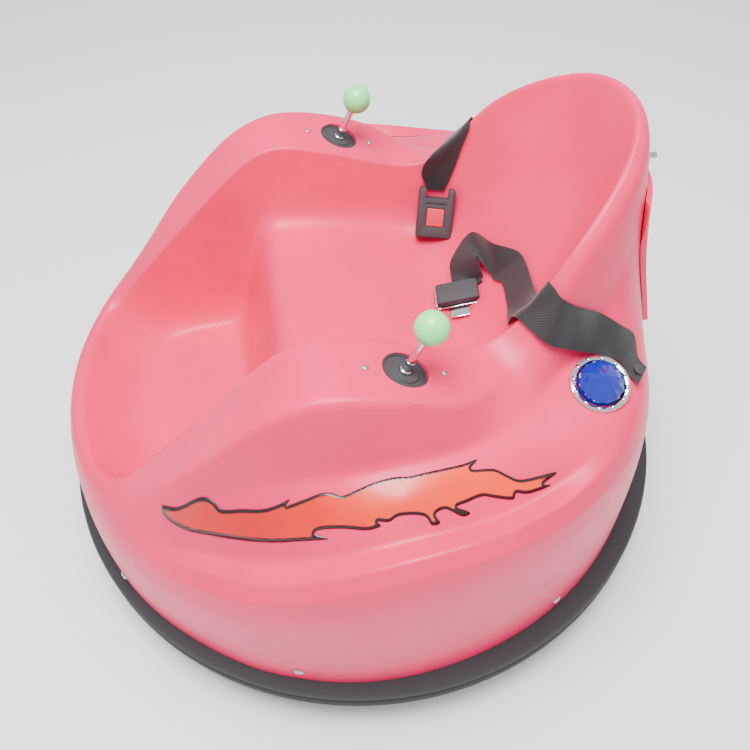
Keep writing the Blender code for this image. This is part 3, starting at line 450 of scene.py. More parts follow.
def top_at(x, y):
    """The first point of the surface below (x, y), and its normal."""
    point, normal, _, _ = TREE.ray_cast(Vector((x, y, 0.8)), Vector((0, 0, -1)))
    return (point, normal if normal.z > 0 else -normal) if point else (None, None)


def wall_at(azimuth, height):
    """The outer wall's point at an azimuth and height, and its normal."""
    angle = math.radians(azimuth)
    out = Vector((math.cos(angle), math.sin(angle), 0))
    point, normal, _, _ = TREE.ray_cast(Vector((0, SHELL_SHIFT, height)) + out * 0.6, -out)
    return point, normal if normal.dot(out) > 0 else -normal


def lifted(point, clear):
    """The point, moved out of the moulding where it is nearer than clear."""
    for _ in range(4):
        spot, normal, _, _ = TREE.find_nearest(point)
        point = point + normal * max(0.0, clear - (point - spot).dot(normal))
    return point


# --- Geometry Nodes: one part repeated on given points -------------------------------------------

def scattered(name, spots, part, paint):
    """The part repeated at each (point, normal) by a Geometry Nodes tree, as one plain mesh."""
    mesh = bpy.data.meshes.new(name)
    mesh.from_pydata([tuple(point) for point, _ in spots], [], [])
    facing = mesh.attributes.new("facing", "FLOAT_VECTOR", "POINT")
    facing.data.foreach_set("vector", [value for _, normal in spots for value in Vector(normal).normalized()])
    holder = link(bpy.data.objects.new(name, mesh))
    tree = bpy.data.node_groups.new(name + "_repeat", "GeometryNodeTree")
    face = tree.interface
    face.new_socket("Geometry", in_out="INPUT", socket_type="NodeSocketGeometry")
    part_in = face.new_socket("Part", in_out="INPUT", socket_type="NodeSocketObject")
    size_in = face.new_socket("Size", in_out="INPUT", socket_type="NodeSocketFloat")
    size_in.default_value = 1.0
    face.new_socket("Geometry", in_out="OUTPUT", socket_type="NodeSocketGeometry")
    given = add(tree, "NodeGroupInput").outputs
    shape = add(tree, "GeometryNodeObjectInfo", Object=given["Part"]).outputs["Geometry"]
    normal = add(tree, "GeometryNodeInputNamedAttribute", {"data_type": "FLOAT_VECTOR"}, Name="facing")
    turn = add(tree, "FunctionNodeAlignRotationToVector", {"axis": "Z"}, Vector=normal.outputs["Attribute"])
    copies = add(tree, "GeometryNodeInstanceOnPoints", Points=given["Geometry"], Instance=shape,
                 Rotation=turn.outputs["Rotation"], Scale=given["Size"])
    real = add(tree, "GeometryNodeRealizeInstances", Geometry=copies.outputs["Instances"])
    painted = add(tree, "GeometryNodeSetMaterial", Geometry=real.outputs["Geometry"], Material=paint)
    add(tree, "NodeGroupOutput", Geometry=painted.outputs["Geometry"])
    repeat = holder.modifiers.new("repeat", "NODES")
    repeat.node_group = tree
    repeat[part_in.identifier] = part
    repeat[size_in.identifier] = 1.0
    apply_all(holder)
    bpy.data.objects.remove(part)
    return holder


def screw_head(radius, height, slot_depth=0.0008):
    """A domed screw head with a cross slot."""
    head = turned("screw_head", [(0, height), (radius * 0.6, height * 0.85), (radius * 0.92, height * 0.4),
                                 (radius, 0), (0, -0.002)], 20)
    for turn in (0, 90):
        bar = box("slot", (-radius * 0.6, -radius * 0.1, height - slot_depth),
                  (radius * 0.6, radius * 0.1, height * 2))
        moved(bar, Matrix.Rotation(math.radians(turn), 4, "Z"))
        combine(head, bar, "DIFFERENCE")
    return smooth_to(head)


# --- The moulding -------------------------------------------------------------------------------

def stick_frame(side, word):
    """Placement at the middle of a joystick's hole, with Z along the panel's normal."""
    lean = Matrix.Rotation(-STICK_LEAN, 4, "X") @ Matrix.Rotation(-side * STICK_TILT, 4, "Y")
    ball = Matrix.Translation(middle("joystick_ball_" + word))
    return ball @ lean @ Matrix.Translation((0, 0, -BALL_HEIGHT))


def hatch_box(name, lap, reach=0.30):
    low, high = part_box("rear_hatch")
    return box(name, (low.x + lap, reach, low.z + lap), (high.x - lap, 0.46, high.z - lap))


def make_shell(pink):
    shell = thicken(shell_surface("moulded_shell"), SHELL_WALL, -1)
    apply_all(shell)
    for side, word in SIDES:
        hole = turned("hole", [(0, 0.02), (STICK_HOLE, 0.02), (STICK_HOLE, -0.02), (0, -0.02)], 64)
        combine(shell, moved(hole, stick_frame(side, word)), "DIFFERENCE")
    combine(shell, hatch_box("opening", 0.014), "DIFFERENCE")
    smooth_to(shell, 50)
    piece(shell, "chassis", "shell_plastic", pink, "body_shell")

    lid = thicken(shell_surface("hatch_lid", SEAM), HATCH_WALL, 1)
    apply_all(lid)
    low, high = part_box("rear_hatch")
    bounds = box("bounds", (low.x, 0.30, low.z), (high.x, 0.46, high.z))
    combine(lid, bounds, "INTERSECT")
    softened(lid, 0.0012, 2, 50)
    piece(lid, "hatch", "shell_plastic", pink, "rear_hatch")


def make_ring(rubber):
    low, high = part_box("bumper_ring")
    radius, half = high.x, (high.z - low.z) / 2
    groove = 0.005
    rib = half / 2
    profile = [(0.366, half), (radius - 0.016, half), (radius - 0.013, half - 0.0006)]
    for centre in (rib, -rib):
        for step in range(13):
            angle = math.radians(78 - 13 * step)
            profile.append((radius - groove * (1 - math.cos(angle)),
                            centre + (rib - 0.0004) * math.sin(angle)))
    profile += [(radius - 0.013, 0.0006 - half), (radius - 0.016, -half), (0.366, -half)]
    ring = turned("rubber_ring", profile, 192, 40)
    moved(ring, Matrix.Translation((0, 0, (low.z + high.z) / 2)))
    piece(ring, "chassis", "ring_rubber", rubber, "bumper_ring")


# --- Joysticks ----------------------------------------------------------------------------------

def make_joysticks(green, steel, black):
    for side, word in SIDES:
        at = stick_frame(side, word)
        radius = 0.0175
        profile = [(radius * math.sin(math.radians(a)), BALL_HEIGHT + radius * math.cos(math.radians(a)))
                   for a in range(0, 156, 5)]
        profile[0] = (0, BALL_HEIGHT + radius)
        foot = profile[-1][1]
        profile += [(0.0066, foot - 0.0006), (0.0064, foot - 0.0012), (0, foot - 0.0012)]
        ball = moved(turned("joystick_knob_" + word, profile, 64, 40), at)
        piece(ball, "chassis", "green_plastic", green, "joystick_ball_" + word)
        shaft = moved(turned("joystick_stem_" + word, [
            (0, foot - 0.0015), (0.0045, foot - 0.0015), (0.0045, foot - 0.004), (0.0041, foot - 0.0045),
            (0.0041, 0.012), (0.0048, 0.0112), (0.0048, 0.001), (0.0060, 0.0), (0.0060, -0.0022),
            (0, -0.0022)], 40), at)
        piece(shaft, "chassis", "bright_steel", steel, "joystick_shaft_" + word)
        plate = turned("plate", [(0, -0.0026), (0.0060, -0.0026), (0.0068, -0.0018), (0.0150, -0.0018),
                                 (0.0160, -0.0032), (0.0215, -0.0032), (0.0222, -0.0016),
                                 (STICK_HOLE - 0.0006, -0.0016), (STICK_HOLE - 0.0006, -0.024),
                                 (0, -0.024)], 64)
        case = box("case", (-0.030, -0.049, -0.046), (0.030, 0.049, -0.0125), 0.002)
        base = softened(box("base", (-0.022, -0.030, -0.058), (0.022, 0.030, -0.0455), 0.001), 0.0006)
        unit = moved(joined("joystick_case_" + word, plate, case, base), at)
        piece(unit, "chassis", "black_plastic", black, "joystick_unit_" + word)


# --- Lamps --------------------------------------------------------------------------------------

def lamp_frame(word):
    foot, lens = centroid("lamp_base_" + word), centroid("lamp_lens_" + word)
    normal = (lens - foot).normalized()
    points = [v.co for v in NODES["lamp_base_" + word].data.vertices]
    low = min((point - foot).dot(normal) for point in points)
    return upright(foot + normal * low, normal)


def make_lamps(chrome, lens_blue):
    for _, word in SIDES:
        at = lamp_frame(word)
        rim = turned("rim", [(0.0245, 0.0062), (0.0262, 0.0096), (0.0285, 0.0102), (0.0312, 0.0090),
                             (0.0319, 0.0066), (0.0320, 0.0004), (0.0314, 0), (0.0245, 0)], 96)
        lug = turned("lug", [(0, 0.0026), (0.0016, 0.0023), (0.0027, 0.0013), (0.0031, 0), (0, -0.001)], 24)
        spots = []
        for step in range(12):
            angle = 2 * math.pi * (step + 0.5) / 12
            out = Vector((math.cos(angle), math.sin(angle), 0))
            spots.append((out * 0.0282 + Vector((0, 0, 0.0088)), out * 0.35 + Vector((0, 0, 1))))
        lugs = scattered("lugs", spots, lug, chrome)
        bezel = moved(joined("lamp_bezel_" + word, rim, lugs), at)
        piece(bezel, "chassis", "bright_steel", chrome, "lamp_base_" + word)
        # Twelve facets fall from a point to a scalloped girdle, as on a pressed lens
        shape = bmesh.new()
        girdle = 24
        tip = shape.verts.new((0, 0, 0.0318))
        rings = []
        for radius, height, dip in ((0.0150, 0.0232, 0.0006), (0.0238, 0.0150, 0.0012),
                                    (0.0243, 0.0070, 0.0)):
            rings.append([shape.verts.new(((radius - (k % 2) * dip) * math.cos(2 * math.pi * k / girdle),
                                           (radius - (k % 2) * dip) * math.sin(2 * math.pi * k / girdle),
                                           height - (k % 2) * dip * 0.8)) for k in range(girdle)])
        foot = shape.verts.new((0, 0, 0.0070))
        for k in range(girdle):
            n = (k + 1) % girdle
            shape.faces.new((tip, rings[0][k], rings[0][n]))
            for upper, lower in zip(rings, rings[1:]):
                shape.faces.new((upper[k], lower[k], lower[n]))
                shape.faces.new((upper[k], lower[n], upper[n]))
            shape.faces.new((foot, rings[-1][n], rings[-1][k]))
        lens = from_bmesh("lamp_cone_" + word, shape, 3)
        bevel = softened(lens, 0.0003, 1, 5)
        smooth_to(bevel, 8)
        piece(moved(lens, at), "chassis", "blue_lens", lens_blue, "lamp_lens_" + word)


# --- Lap belt -----------------------------------------------------------------------------------

# Stations of each half, in mm: middle of the strap, then the vector from its middle line to one edge
STRAP_LEFT = (
    ((221, 268, 293), (-10, 9, 0)), ((204, 264, 293), (-10, 10, 0)), ((187, 263, 301), (-16, 14, 2)),
    ((183, 249, 311), (-15, 9, 9)), ((177, 228, 322), (-15, 5, 16)), ((179, 201, 337), (-11, 4, 21)),
    ((177, 176, 352), (-12, 9, 20)), ((153, 164, 358), (-6, 18, 17)), ((137, 165, 338), (-2, 20, 13)),
    ((119, 171, 305), (-2, 20, 13)), ((80, 184, 284), (-5, 19, 14)), ((26, 191, 281), (-10, 10, 17)),
    ((2, 173, 277), (-14, 0, 19)), ((-37, 159, 274), (-20, 1, 4)), ((-28, 144, 262), (-15, -12, -13)),
    ((-15, 144, 248), (-12, -16, -12)), ((-6, 147, 240), (-4, -22, -2)), ((1, 150, 236), (-3, -24, -2)),
)
STRAP_RIGHT = (
    ((-221, 268, 293), (10, 9, 0)), ((-204, 264, 293), (10, 10, 0)), ((-187, 263, 301), (16, 14, 2)),
    ((-183, 249, 311), (15, 9, 9)), ((-177, 228, 322), (15, 5, 16)), ((-179, 201, 337), (11, 4, 21)),
    ((-177, 176, 352), (12, 9, 20)), ((-155, 163, 359), (5, 18, 18)), ((-148, 146, 338), (0, 24, 8)),
    ((-149, 139, 314), (1, 24, 3)), ((-147, 136, 296), (3, 17, 0)), ((-143, 135, 284), (3, 10, 0)),
)


WEBBING_WIDE = 0.050
WEBBING_THICK = 0.0016
WEBBING_CLEAR = 0.0028


def flow(points, steps):
    """A smooth run of points through the given ones."""
    ends = [2 * points[0] - points[1], *points, 2 * points[-1] - points[-2]]
    run = []
    for a, b, c, d in zip(ends, ends[1:], ends[2:], ends[3:]):
        for step in range(steps):
            t = step / steps
            run.append(0.5 * (2 * b + (c - a) * t + (2 * a - 5 * b + 4 * c - d) * t * t
                              + (3 * b - a - 3 * c + d) * t * t * t))
    return [*run, points[-1]]


def make_webbing(name, stations):
    """A flat strap through its stations, laid over the moulding, with a UV map in metres, and its length."""
    above = Vector((0, 0, RING_PLANE))
    middles = flow([Vector(at) / 1000 + above for at, _ in stations], 10)
    reaches = flow([Vector(reach) / 1000 for _, reach in stations], 10)
    across = [share / 8 for share in range(-8, 9)]
    shape = bmesh.new()
    uv = shape.loops.layers.uv.new("weave")
    rows, along, run = [], [], 0.0
    for index, (at, reach) in enumerate(zip(middles, reaches)):
        rows.append([shape.verts.new(lifted(at + reach * share, WEBBING_CLEAR)) for share in across])
        if index:
            run += (at - middles[index - 1]).length
        along.append(run)
    for index in range(len(rows) - 1):
        for k in range(len(across) - 1):
            corners = ((k, index), (k + 1, index), (k + 1, index + 1), (k, index + 1))
            face = shape.faces.new([rows[i][j] for j, i in corners])
            for loop, (j, i) in zip(face.loops, corners):
                loop[uv].uv = (across[j] * WEBBING_WIDE / 2, along[i])
    for _ in range(2):
        bmesh.ops.smooth_vert(shape, verts=shape.verts, factor=0.35, use_axis_x=True, use_axis_y=True,
                              use_axis_z=True)
    made = from_bmesh(name, shape, 180)
    thicken(made, WEBBING_THICK, 0)
    apply_all(made)
    smooth_to(made, 50)
    return made, run


BUCKLE = (0.048, 0.022, 0.066)  # width, thickness, length
BUCKLE_AT = (-0.1238, 0.1300, 0.2614 + RING_PLANE)
BUCKLE_ACROSS = (0.257, 0.964, -0.064)
BUCKLE_ALONG = (-0.458, 0.183, 0.870)
TONGUE_NEAR = (0.004, 0.141, 0.230 + RING_PLANE)
TONGUE_ACROSS = (0.17, 0.98, 0.25)


def placed(middle_at, across, facing):
    """Placement at a point, with X along across and Y along facing."""
    x, y = Vector(across).normalized(), Vector(facing).normalized()
    return Matrix.Translation(Vector(middle_at)) @ Matrix((x, y, x.cross(y))).transposed().to_4x4()


def make_belt(weave, black, red, chrome):
    left, length = make_webbing("lap_strap_left", STRAP_LEFT)
    piece(left, "chassis", "belt_webbing", weave, "belt_webbing_left")
    right, far_length = make_webbing("lap_strap_right", STRAP_RIGHT)
    piece(right, "chassis", "belt_webbing", weave, "belt_webbing_right")

    wide, deep, high = BUCKLE
    at = placed(BUCKLE_AT, BUCKLE_ACROSS, Vector(BUCKLE_ALONG).cross(BUCKLE_ACROSS))
    body = box("lap_buckle", (-wide / 2, -deep / 2, -high / 2), (wide / 2, deep / 2, high / 2), 0.0035, 4)
    for cut in (box("notch", (-0.0155, -deep, high / 2 - 0.013), (0.0155, deep, high), 0.002, 3),
                box("pocket", (-0.0122, -deep, -0.0170), (0.0122, 0.0035 - deep / 2, 0.0078), 0.001, 2),
                box("slot", (-0.0140, -deep / 2 - 0.001, 0.0125), (0.0140, 0.0012 - deep / 2, 0.0137))):
        combine(body, cut, "DIFFERENCE")
    softened(body, 0.0005, 2)
    piece(moved(body, at), "chassis", "black_plastic", black, "belt_buckle")
    button = box("buckle_press", (-0.0115, -deep / 2 - 0.0007, -0.0164),
                 (0.0115, 0.0030 - deep / 2, 0.0072), 0.0012, 3)
    piece(moved(smooth_to(button), at), "chassis", "red_plastic", red, "buckle_button")

    _, normal, _, _ = TREE.find_nearest(Vector(TONGUE_NEAR))
    lie = placed(centroid("belt_tongue"), TONGUE_ACROSS, normal.cross(TONGUE_ACROSS))
    cover = softened(box("cover", (-0.0262, -0.0150, -0.0030), (0.0268, 0.0165, 0.0060), 0.0022, 3), 0.0004)
    piece(moved(cover, lie), "chassis", "black_plastic", black)
    cover.name = "lap_tongue_cover"
    plate = box("lap_tongue", (-0.0285, -0.0175, -0.0045), (0.0285, 0.0178, -0.0031), 0.0006, 2)
    edge = box("edge", (-0.0285, -0.0172, -0.0040), (-0.0264, 0.0172, 0.0040), 0.0007, 2)
    tab = box("tab", (-0.012, -0.0340, -0.0044), (0.012, -0.0170, -0.0032), 0.0005, 2)
    tongue = joined("lap_tongue", plate, edge, tab)
    piece(moved(tongue, lie), "chassis", "bright_steel", chrome, "belt_tongue")
    tongue.name = "lap_tongue"
    for word in ("left", "right"):
        refined("belt_anchor_" + word, "chassis", "black_plastic", black, 0.0006)


# --- Flame decals -------------------------------------------------------------------------------

# Outline of the flame, in degrees round the moulding from its side and mm from its middle
FLAME = (
    (-47, 331), (-44, 327), (-42, 322), (-40, 316), (-38, 312), (-36, 312), (-34, 315), (-30, 311), (-26, 308),
    (-23, 303), (-21, 298), (-21.5, 303), (-18, 297), (-15, 292), (-13, 292), (-11, 295), (-8, 291), (-5, 287),
    (-1, 285), (2, 287), (5, 287), (9, 288), (13, 290), (16, 291), (14, 297), (18, 305), (20, 316), (22, 325),
    (28, 338), (25, 338), (26, 343), (22, 337), (20, 331), (19, 334), (16, 326), (14, 321), (11, 321), (9, 322),
    (11, 329), (9.5, 330), (7, 321), (5, 323), (5.5, 330), (4, 330), (3, 322), (-1, 318), (-3, 321), (-5, 319),
    (-4.5, 323), (-7, 324), (-11, 320), (-15, 319), (-16, 322), (-13.5, 326), (-18, 326), (-24, 328), (-30, 330),
    (-36, 333), (-40, 336), (-44, 337), (-46.5, 335),
)


def inside(point, outline):
    """Whether the point is inside the closed outline."""
    found = False
    for a, b in zip(outline, outline[1:] + outline[:1]):
        if (a.y > point.y) != (b.y > point.y):
            if point.x < (b.x - a.x) * (point.y - a.y) / (b.y - a.y) + a.x:
                found = not found
    return found


def edge_distance(point, outline):
    """Distance from the point to the closed outline."""
    best = 1.0
    for a, b in zip(outline, outline[1:] + outline[:1]):
        along = b - a
        share = max(0.0, min(1.0, (point - a).dot(along) / max(along.length_squared, 1e-12)))
        best = min(best, (point - (a + along * share)).length)
    return best


def plan(azimuth, radius, side):
    """A point of the flame's outline seen from above, in metres, on either side."""
    angle = math.radians(azimuth)
    return Vector((side * radius * math.cos(angle) / 1000, SHELL_SHIFT + radius * math.sin(angle) / 1000))


DECAL_MESH = 0.0022  # spacing of the decal's points
DECAL_LIFT = 0.0006
DECAL_THICK = 0.0003
FLAME_HEAD = -47  # degrees to the flame's head, and from there to its tip
FLAME_SPAN = 75


def make_decals(vinyl):
    spacing = DECAL_MESH
    for side, word in SIDES:
        outline = flow([plan(a, r, side) for a, r in (*FLAME, FLAME[0])], 4)[:-1]
        dense = []
        for a, b in zip(outline, outline[1:] + outline[:1]):
            count = max(1, int((b - a).length / spacing))
            dense += [a.lerp(b, k / count) for k in range(count)]
        points = list(dense)
        edges = [(k, (k + 1) % len(dense)) for k in range(len(dense))]
        xs, ys = [p.x for p in dense], [p.y for p in dense]
        for i in range(int((max(xs) - min(xs)) / spacing) + 1):
            for j in range(int((max(ys) - min(ys)) / spacing) + 1):
                at = Vector((min(xs) + (i + 0.5 * (j % 2)) * spacing, min(ys) + j * spacing))
                if inside(at, outline) and edge_distance(at, outline) > spacing * 0.6:
                    points.append(at)
        found, _, faces, _, _, _ = delaunay_2d_cdt(points, edges, [], 1, 1e-7)
        shape = bmesh.new()
        rim = shape.verts.layers.float.new("rim")
        along = shape.verts.layers.float.new("along")
        verts = []
        for p in found:
            spot, normal = top_at(p.x, p.y)
            vert = shape.verts.new(spot + normal * DECAL_LIFT)
            vert[rim] = edge_distance(p, outline) * 1000
            azimuth = math.degrees(math.atan2(p.y - SHELL_SHIFT, abs(p.x)))
            vert[along] = (azimuth - FLAME_HEAD) / FLAME_SPAN
            verts.append(vert)
        for face in faces:
            shape.faces.new([verts[i] for i in face])
        bmesh.ops.recalc_face_normals(shape, faces=shape.faces)
        if sum((f.normal.z * f.calc_area() for f in shape.faces)) < 0:
            bmesh.ops.reverse_faces(shape, faces=shape.faces)
        mesh = bpy.data.meshes.new("flame_decal_" + word)
        shape.to_mesh(mesh)
        shape.free()
        decal = link(bpy.data.objects.new("flame_decal_" + word, mesh))
        smooth_to(decal, 180)
        thicken(decal, DECAL_THICK, 1)
        apply_all(decal)
        piece(decal, "chassis", "shell_plastic", vinyl)


# --- Screws on the moulding ---------------------------------------------------------------------

SKIRT_SCREWS = (-162, -123, -57, -19.5, 27.6, 71, 109, 152, 199.5)


def make_screws(zinc, sizes):
    spots = []
    for azimuth in SKIRT_SCREWS:
        point, normal = wall_at(azimuth, RING_PLANE + 0.046)
        spots.append((point + normal * 0.0005, normal))
    skirt = scattered("skirt_screws", spots, screw_head(sizes.skirt_screw, 0.0026), zinc)
    piece(skirt, "chassis", "zinc_steel", zinc)
    spots = []
    for side, word in SIDES:
        at = stick_frame(side, word)
        for reach in (-0.043, 0.043):
            spot, normal, _, _ = TREE.find_nearest(at @ Vector((0, reach, 0)))
            spots.append((spot + normal * 0.0004, normal))
    panel = scattered("panel_screws", spots, screw_head(sizes.panel_screw, 0.0018, 0.0006), zinc)
    piece(panel, "chassis", "zinc_steel", zinc)


# --- Frame, wheels and small hardware -------------------------------------------------------------

def refined(node, body, slot, paint, ease, angle=30):
    """A CAD node's own shape with eased edges and smooth round faces."""
    shape = bmesh.new()
    shape.from_mesh(NODES[node].data)
    bmesh.ops.remove_doubles(shape, verts=shape.verts, dist=0.00001)
    bmesh.ops.dissolve_limit(shape, angle_limit=math.radians(0.5), verts=shape.verts, edges=shape.edges)
    mesh = bpy.data.meshes.new("finished_" + node)
    shape.to_mesh(mesh)
    shape.free()
    made = link(bpy.data.objects.new("finished_" + node, mesh))
    softened(made, ease, 2, angle)
    return piece(made, body, slot, paint, node)


def make_hardware(zinc, enamel, black, grey):
    refined("hatch_hinge_fixed", "chassis", "zinc_steel", zinc, 0.0003)
    for node in ("hatch_hinge_lid", "hatch_latch"):
        refined(node, "hatch", "zinc_steel", zinc, 0.0003)
    for node, ease in (("frame_ladder", 0.002), ("frame_hoop", 0.0008), ("gearmotor_left", 0.002),
                       ("gearmotor_right", 0.002), ("motor_plate_left", 0.0008), ("motor_plate_right", 0.0008),
                       ("battery_tray", 0.0005), ("controller_box", 0.0015)):
        refined(node, "chassis", "painted_steel", enamel, ease)
    refined("battery", "chassis", "black_plastic", black, 0.001)
    for word, body in (("front", "caster_front"), ("rear", "caster_rear")):
        refined("caster_plate_" + word, "chassis", "zinc_steel", zinc, 0.0006)
        refined("caster_fork_" + word, body, "zinc_steel", zinc, 0.0004)
        refined("caster_axle_" + word, body, "zinc_steel", zinc, 0.0004)
        refined("caster_wheel_" + word, "caster_roller_" + word, "black_plastic", black, 0.0008)
    for _, word in SIDES:
        refined("drive_hub_" + word, "wheel_" + word, "grey_plastic", grey, 0.0008)


def make_tyres(rubber):
    """Drive tyres with rounded shoulders and a ring of tread lugs from Geometry Nodes."""
    for _, word in SIDES:
        low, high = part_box("drive_tyre_" + word)
        centre = (low + high) / 2
        radius, half = (high.z - low.z) / 2, (high.x - low.x) / 2
        inner = 0.0563
        profile = [(inner, half), (radius - 0.009, half), (radius - 0.005, half - 0.001),
                   (radius - 0.002, half - 0.004), (radius - 0.0012, half - 0.009), (radius - 0.0010, 0),
                   (radius - 0.0012, 0.009 - half), (radius - 0.002, 0.004 - half),
                   (radius - 0.005, 0.001 - half), (radius - 0.009, -half), (inner, -half)]
        tread = turned("tread", profile, 96, 40)
        lug = box("lug", (-0.0026, -0.0062, -0.0020), (0.0026, 0.0062, 0.0010), 0.0004, 1)
        spots = []
        for step in range(40):
            for row in (-1, 1):
                angle = 2 * math.pi * (step + 0.25 * row) / 40
                out = Vector((math.cos(angle), math.sin(angle), 0))
                spots.append((out * (radius - 0.0011) + Vector((0, 0, row * 0.0078)), out))
        lugs = scattered("lugs", spots, lug, rubber)
        tyre = joined("drive_tread_" + word, tread, lugs)
        moved(tyre, Matrix.Translation(centre) @ Matrix.Rotation(math.radians(90), 4, "Y"))
        piece(tyre, "wheel_" + word, "tyre_rubber", rubber, "drive_tyre_" + word)


# --- Finishes -----------------------------------------------------------------------------------

FINISHES = {
    # Rotomoulded polythene with a soft gloss: the eye gets broad highlights and a faint orange peel
    "moulded_pink": dict(colour="moulding", spread=0.05, patch=110, rough=(0.34, 0.42), grain=1.6, depth=0.012,
                         Specular_IOR_Level=0.35),
    # Extruded rubber: nearly matt, with dusty patches that catch the light
    "ring_rubber": dict(colour="ring", spread=0.25, patch=45, rough=(0.42, 0.58), grain=0.8, depth=0.03),
    # Tyre rubber: duller and greyer than the ring
    "tyre_rubber": dict(colour="tyre", spread=0.25, patch=30, rough=(0.65, 0.8), grain=0.6, depth=0.04),
    # Fine-grained black plastic of cases, buckle and tongue cover
    "black_plastic": dict(colour="plastic", spread=0.2, patch=25, rough=(0.32, 0.45), grain=0.5, depth=0.015),
    # Glossy phenolic ball: a clear reflection over an even green
    "green_plastic": dict(colour="knob", spread=0.04, patch=20, rough=(0.18, 0.26), grain=1.2, depth=0.002,
                          Specular_IOR_Level=0.3),
    # Red press button
    "red_plastic": dict(colour="button", spread=0.06, patch=15, rough=(0.22, 0.32), grain=0.6, depth=0.006),
    # Polished chrome with faint wipe marks in its gloss
    "chrome": dict(colour="chrome", spread=0.04, patch=18, rough=(0.05, 0.13), grain=1.5, depth=0.001,
                   Metallic=1.0),
    # Zinc plating: a dull bright metal with a fine spangle
    "zinc": dict(colour="zinc", spread=0.10, patch=6, rough=(0.28, 0.42), grain=0.7, depth=0.006,
                 Metallic=1.0),
    # Semi-matt black paint over the welded frame
    "frame_paint": dict(colour="paint", spread=0.18, patch=40, rough=(0.35, 0.5), grain=1.0, depth=0.02),
    # Grey moulded hubs
    "grey_plastic": dict(colour="hub", spread=0.08, patch=22, rough=(0.35, 0.48), grain=0.6, depth=0.01),
    # Tinted lens: deep blue with light passing through its facets
    "lens_blue": dict(colour="lens", spread=0.12, patch=14, rough=(0.05, 0.11), grain=1.5, depth=0.001,
                      Transmission_Weight=0.25, Coat_Weight=0.6, Coat_Roughness=0.04),
}


def colours():
    return bpy.context.scene.bumper_car_colours


def paint(name):
    """The named finish, made once."""
    if name in bpy.data.materials:
        return bpy.data.materials[name]
    settings = dict(FINISHES[name])
    colour = tuple(getattr(colours(), settings.pop("colour")))
    return finish(name, colour, settings.pop("spread"), **settings)


def weave():
    """Woven polyester webbing: ribs along the strap crossed by a fine twill, with a thin bound edge."""
    mat = bpy.data.materials.new("belt_weave")
    mat.use_nodes = True
    tree = mat.node_tree
    bsdf = tree.nodes["Principled BSDF"]
    bsdf.inputs["Roughness"].default_value = 0.62
    bsdf.inputs["Sheen Weight"].default_value = 0.25
    place = add(tree, "ShaderNodeUVMap", {"uv_map": "weave"}).outputs["UV"]
    parts = add(tree, "ShaderNodeSeparateXYZ", Vector=place).outputs
    ribs = add(tree, "ShaderNodeTexWave", {"bands_direction": "X"}, Vector=place, Scale=160.0, Distortion=0.4)
    picks = add(tree, "ShaderNodeTexWave", {"bands_direction": "DIAGONAL"}, Vector=place, Scale=200.0,
                Distortion=0.3)
    cloth = add(tree, "ShaderNodeMath", {"operation": "MULTIPLY"}, i0=ribs.outputs["Fac"],
                i1=picks.outputs["Fac"])
    far = add(tree, "ShaderNodeMath", {"operation": "ABSOLUTE"}, i0=parts["X"])
    selvage = add(tree, "ShaderNodeMapRange", Value=far.outputs["Value"], From_Min=WEBBING_WIDE / 2 - 0.0035,
                  From_Max=WEBBING_WIDE / 2 - 0.0025)
    shade = add(tree, "ShaderNodeValToRGB", Fac=cloth.outputs["Value"])
    base = Vector(tuple(colours().webbing)[:3])
    shade.color_ramp.elements[0].color = (*(base * 0.5), 1.0)
    shade.color_ramp.elements[1].color = (*(base * 1.9), 1.0)
    edged = add(tree, "ShaderNodeMix", {"data_type": "RGBA"}, i0=selvage.outputs["Result"],
                i6=shade.outputs["Color"], i7=(*(base * 0.7), 1.0))
    tree.links.new(edged.outputs[2], bsdf.inputs["Base Color"])
    bump = add(tree, "ShaderNodeBump", Height=cloth.outputs["Value"], Strength=0.8, Distance=0.0003)
    tree.links.new(bump.outputs["Normal"], bsdf.inputs["Normal"])
    return mat


def vinyl():
    """Printed vinyl flame: red running to orange, with a dark maroon keyline round its rim."""
    mat = bpy.data.materials.new("flame_vinyl")
    mat.use_nodes = True
    tree = mat.node_tree
    bsdf = tree.nodes["Principled BSDF"]
    bsdf.inputs["Coat Weight"].default_value = 0.3
    bsdf.inputs["Coat Roughness"].default_value = 0.12
    rim = add(tree, "ShaderNodeAttribute", {"attribute_name": "rim"}).outputs["Fac"]
    along = add(tree, "ShaderNodeAttribute", {"attribute_name": "along"}).outputs["Fac"]
    at = add(tree, "ShaderNodeTexCoord").outputs["Object"]
    cloud = add(tree, "ShaderNodeTexNoise", Vector=at, Scale=28.0, Detail=2.0).outputs["Fac"]
    shift = add(tree, "ShaderNodeMath", {"operation": "MULTIPLY_ADD"}, i0=cloud, i1=0.45, i2=-0.22)
    mixed = add(tree, "ShaderNodeMath", {"operation": "ADD"}, i0=along, i1=shift.outputs["Value"])
    fire = add(tree, "ShaderNodeValToRGB", Fac=mixed.outputs["Value"])
    stops = fire.color_ramp.elements
    stops[0].position, stops[0].color = 0.22, tuple(colours().flame_root)
    stops[1].position, stops[1].color = 0.85, tuple(colours().flame_tip)
    heart = add(tree, "ShaderNodeMapRange", Value=rim, From_Min=2.0, From_Max=2.9)
    edged = add(tree, "ShaderNodeMix", {"data_type": "RGBA"}, i0=heart.outputs["Result"],
                i6=tuple(colours().flame_line), i7=fire.outputs["Color"])
    tree.links.new(edged.outputs[2], bsdf.inputs["Base Color"])
    gloss = add(tree, "ShaderNodeMapRange", Value=cloud, From_Min=0.3, From_Max=0.7, To_Min=0.25, To_Max=0.36)
    tree.links.new(gloss.outputs["Result"], bsdf.inputs["Roughness"])
    return mat


def tint(name, description, colour):
    return bpy.props.FloatVectorProperty(name=name, description=description, subtype="COLOR", size=4, min=0.0,
                                         max=1.0, default=linear(colour))


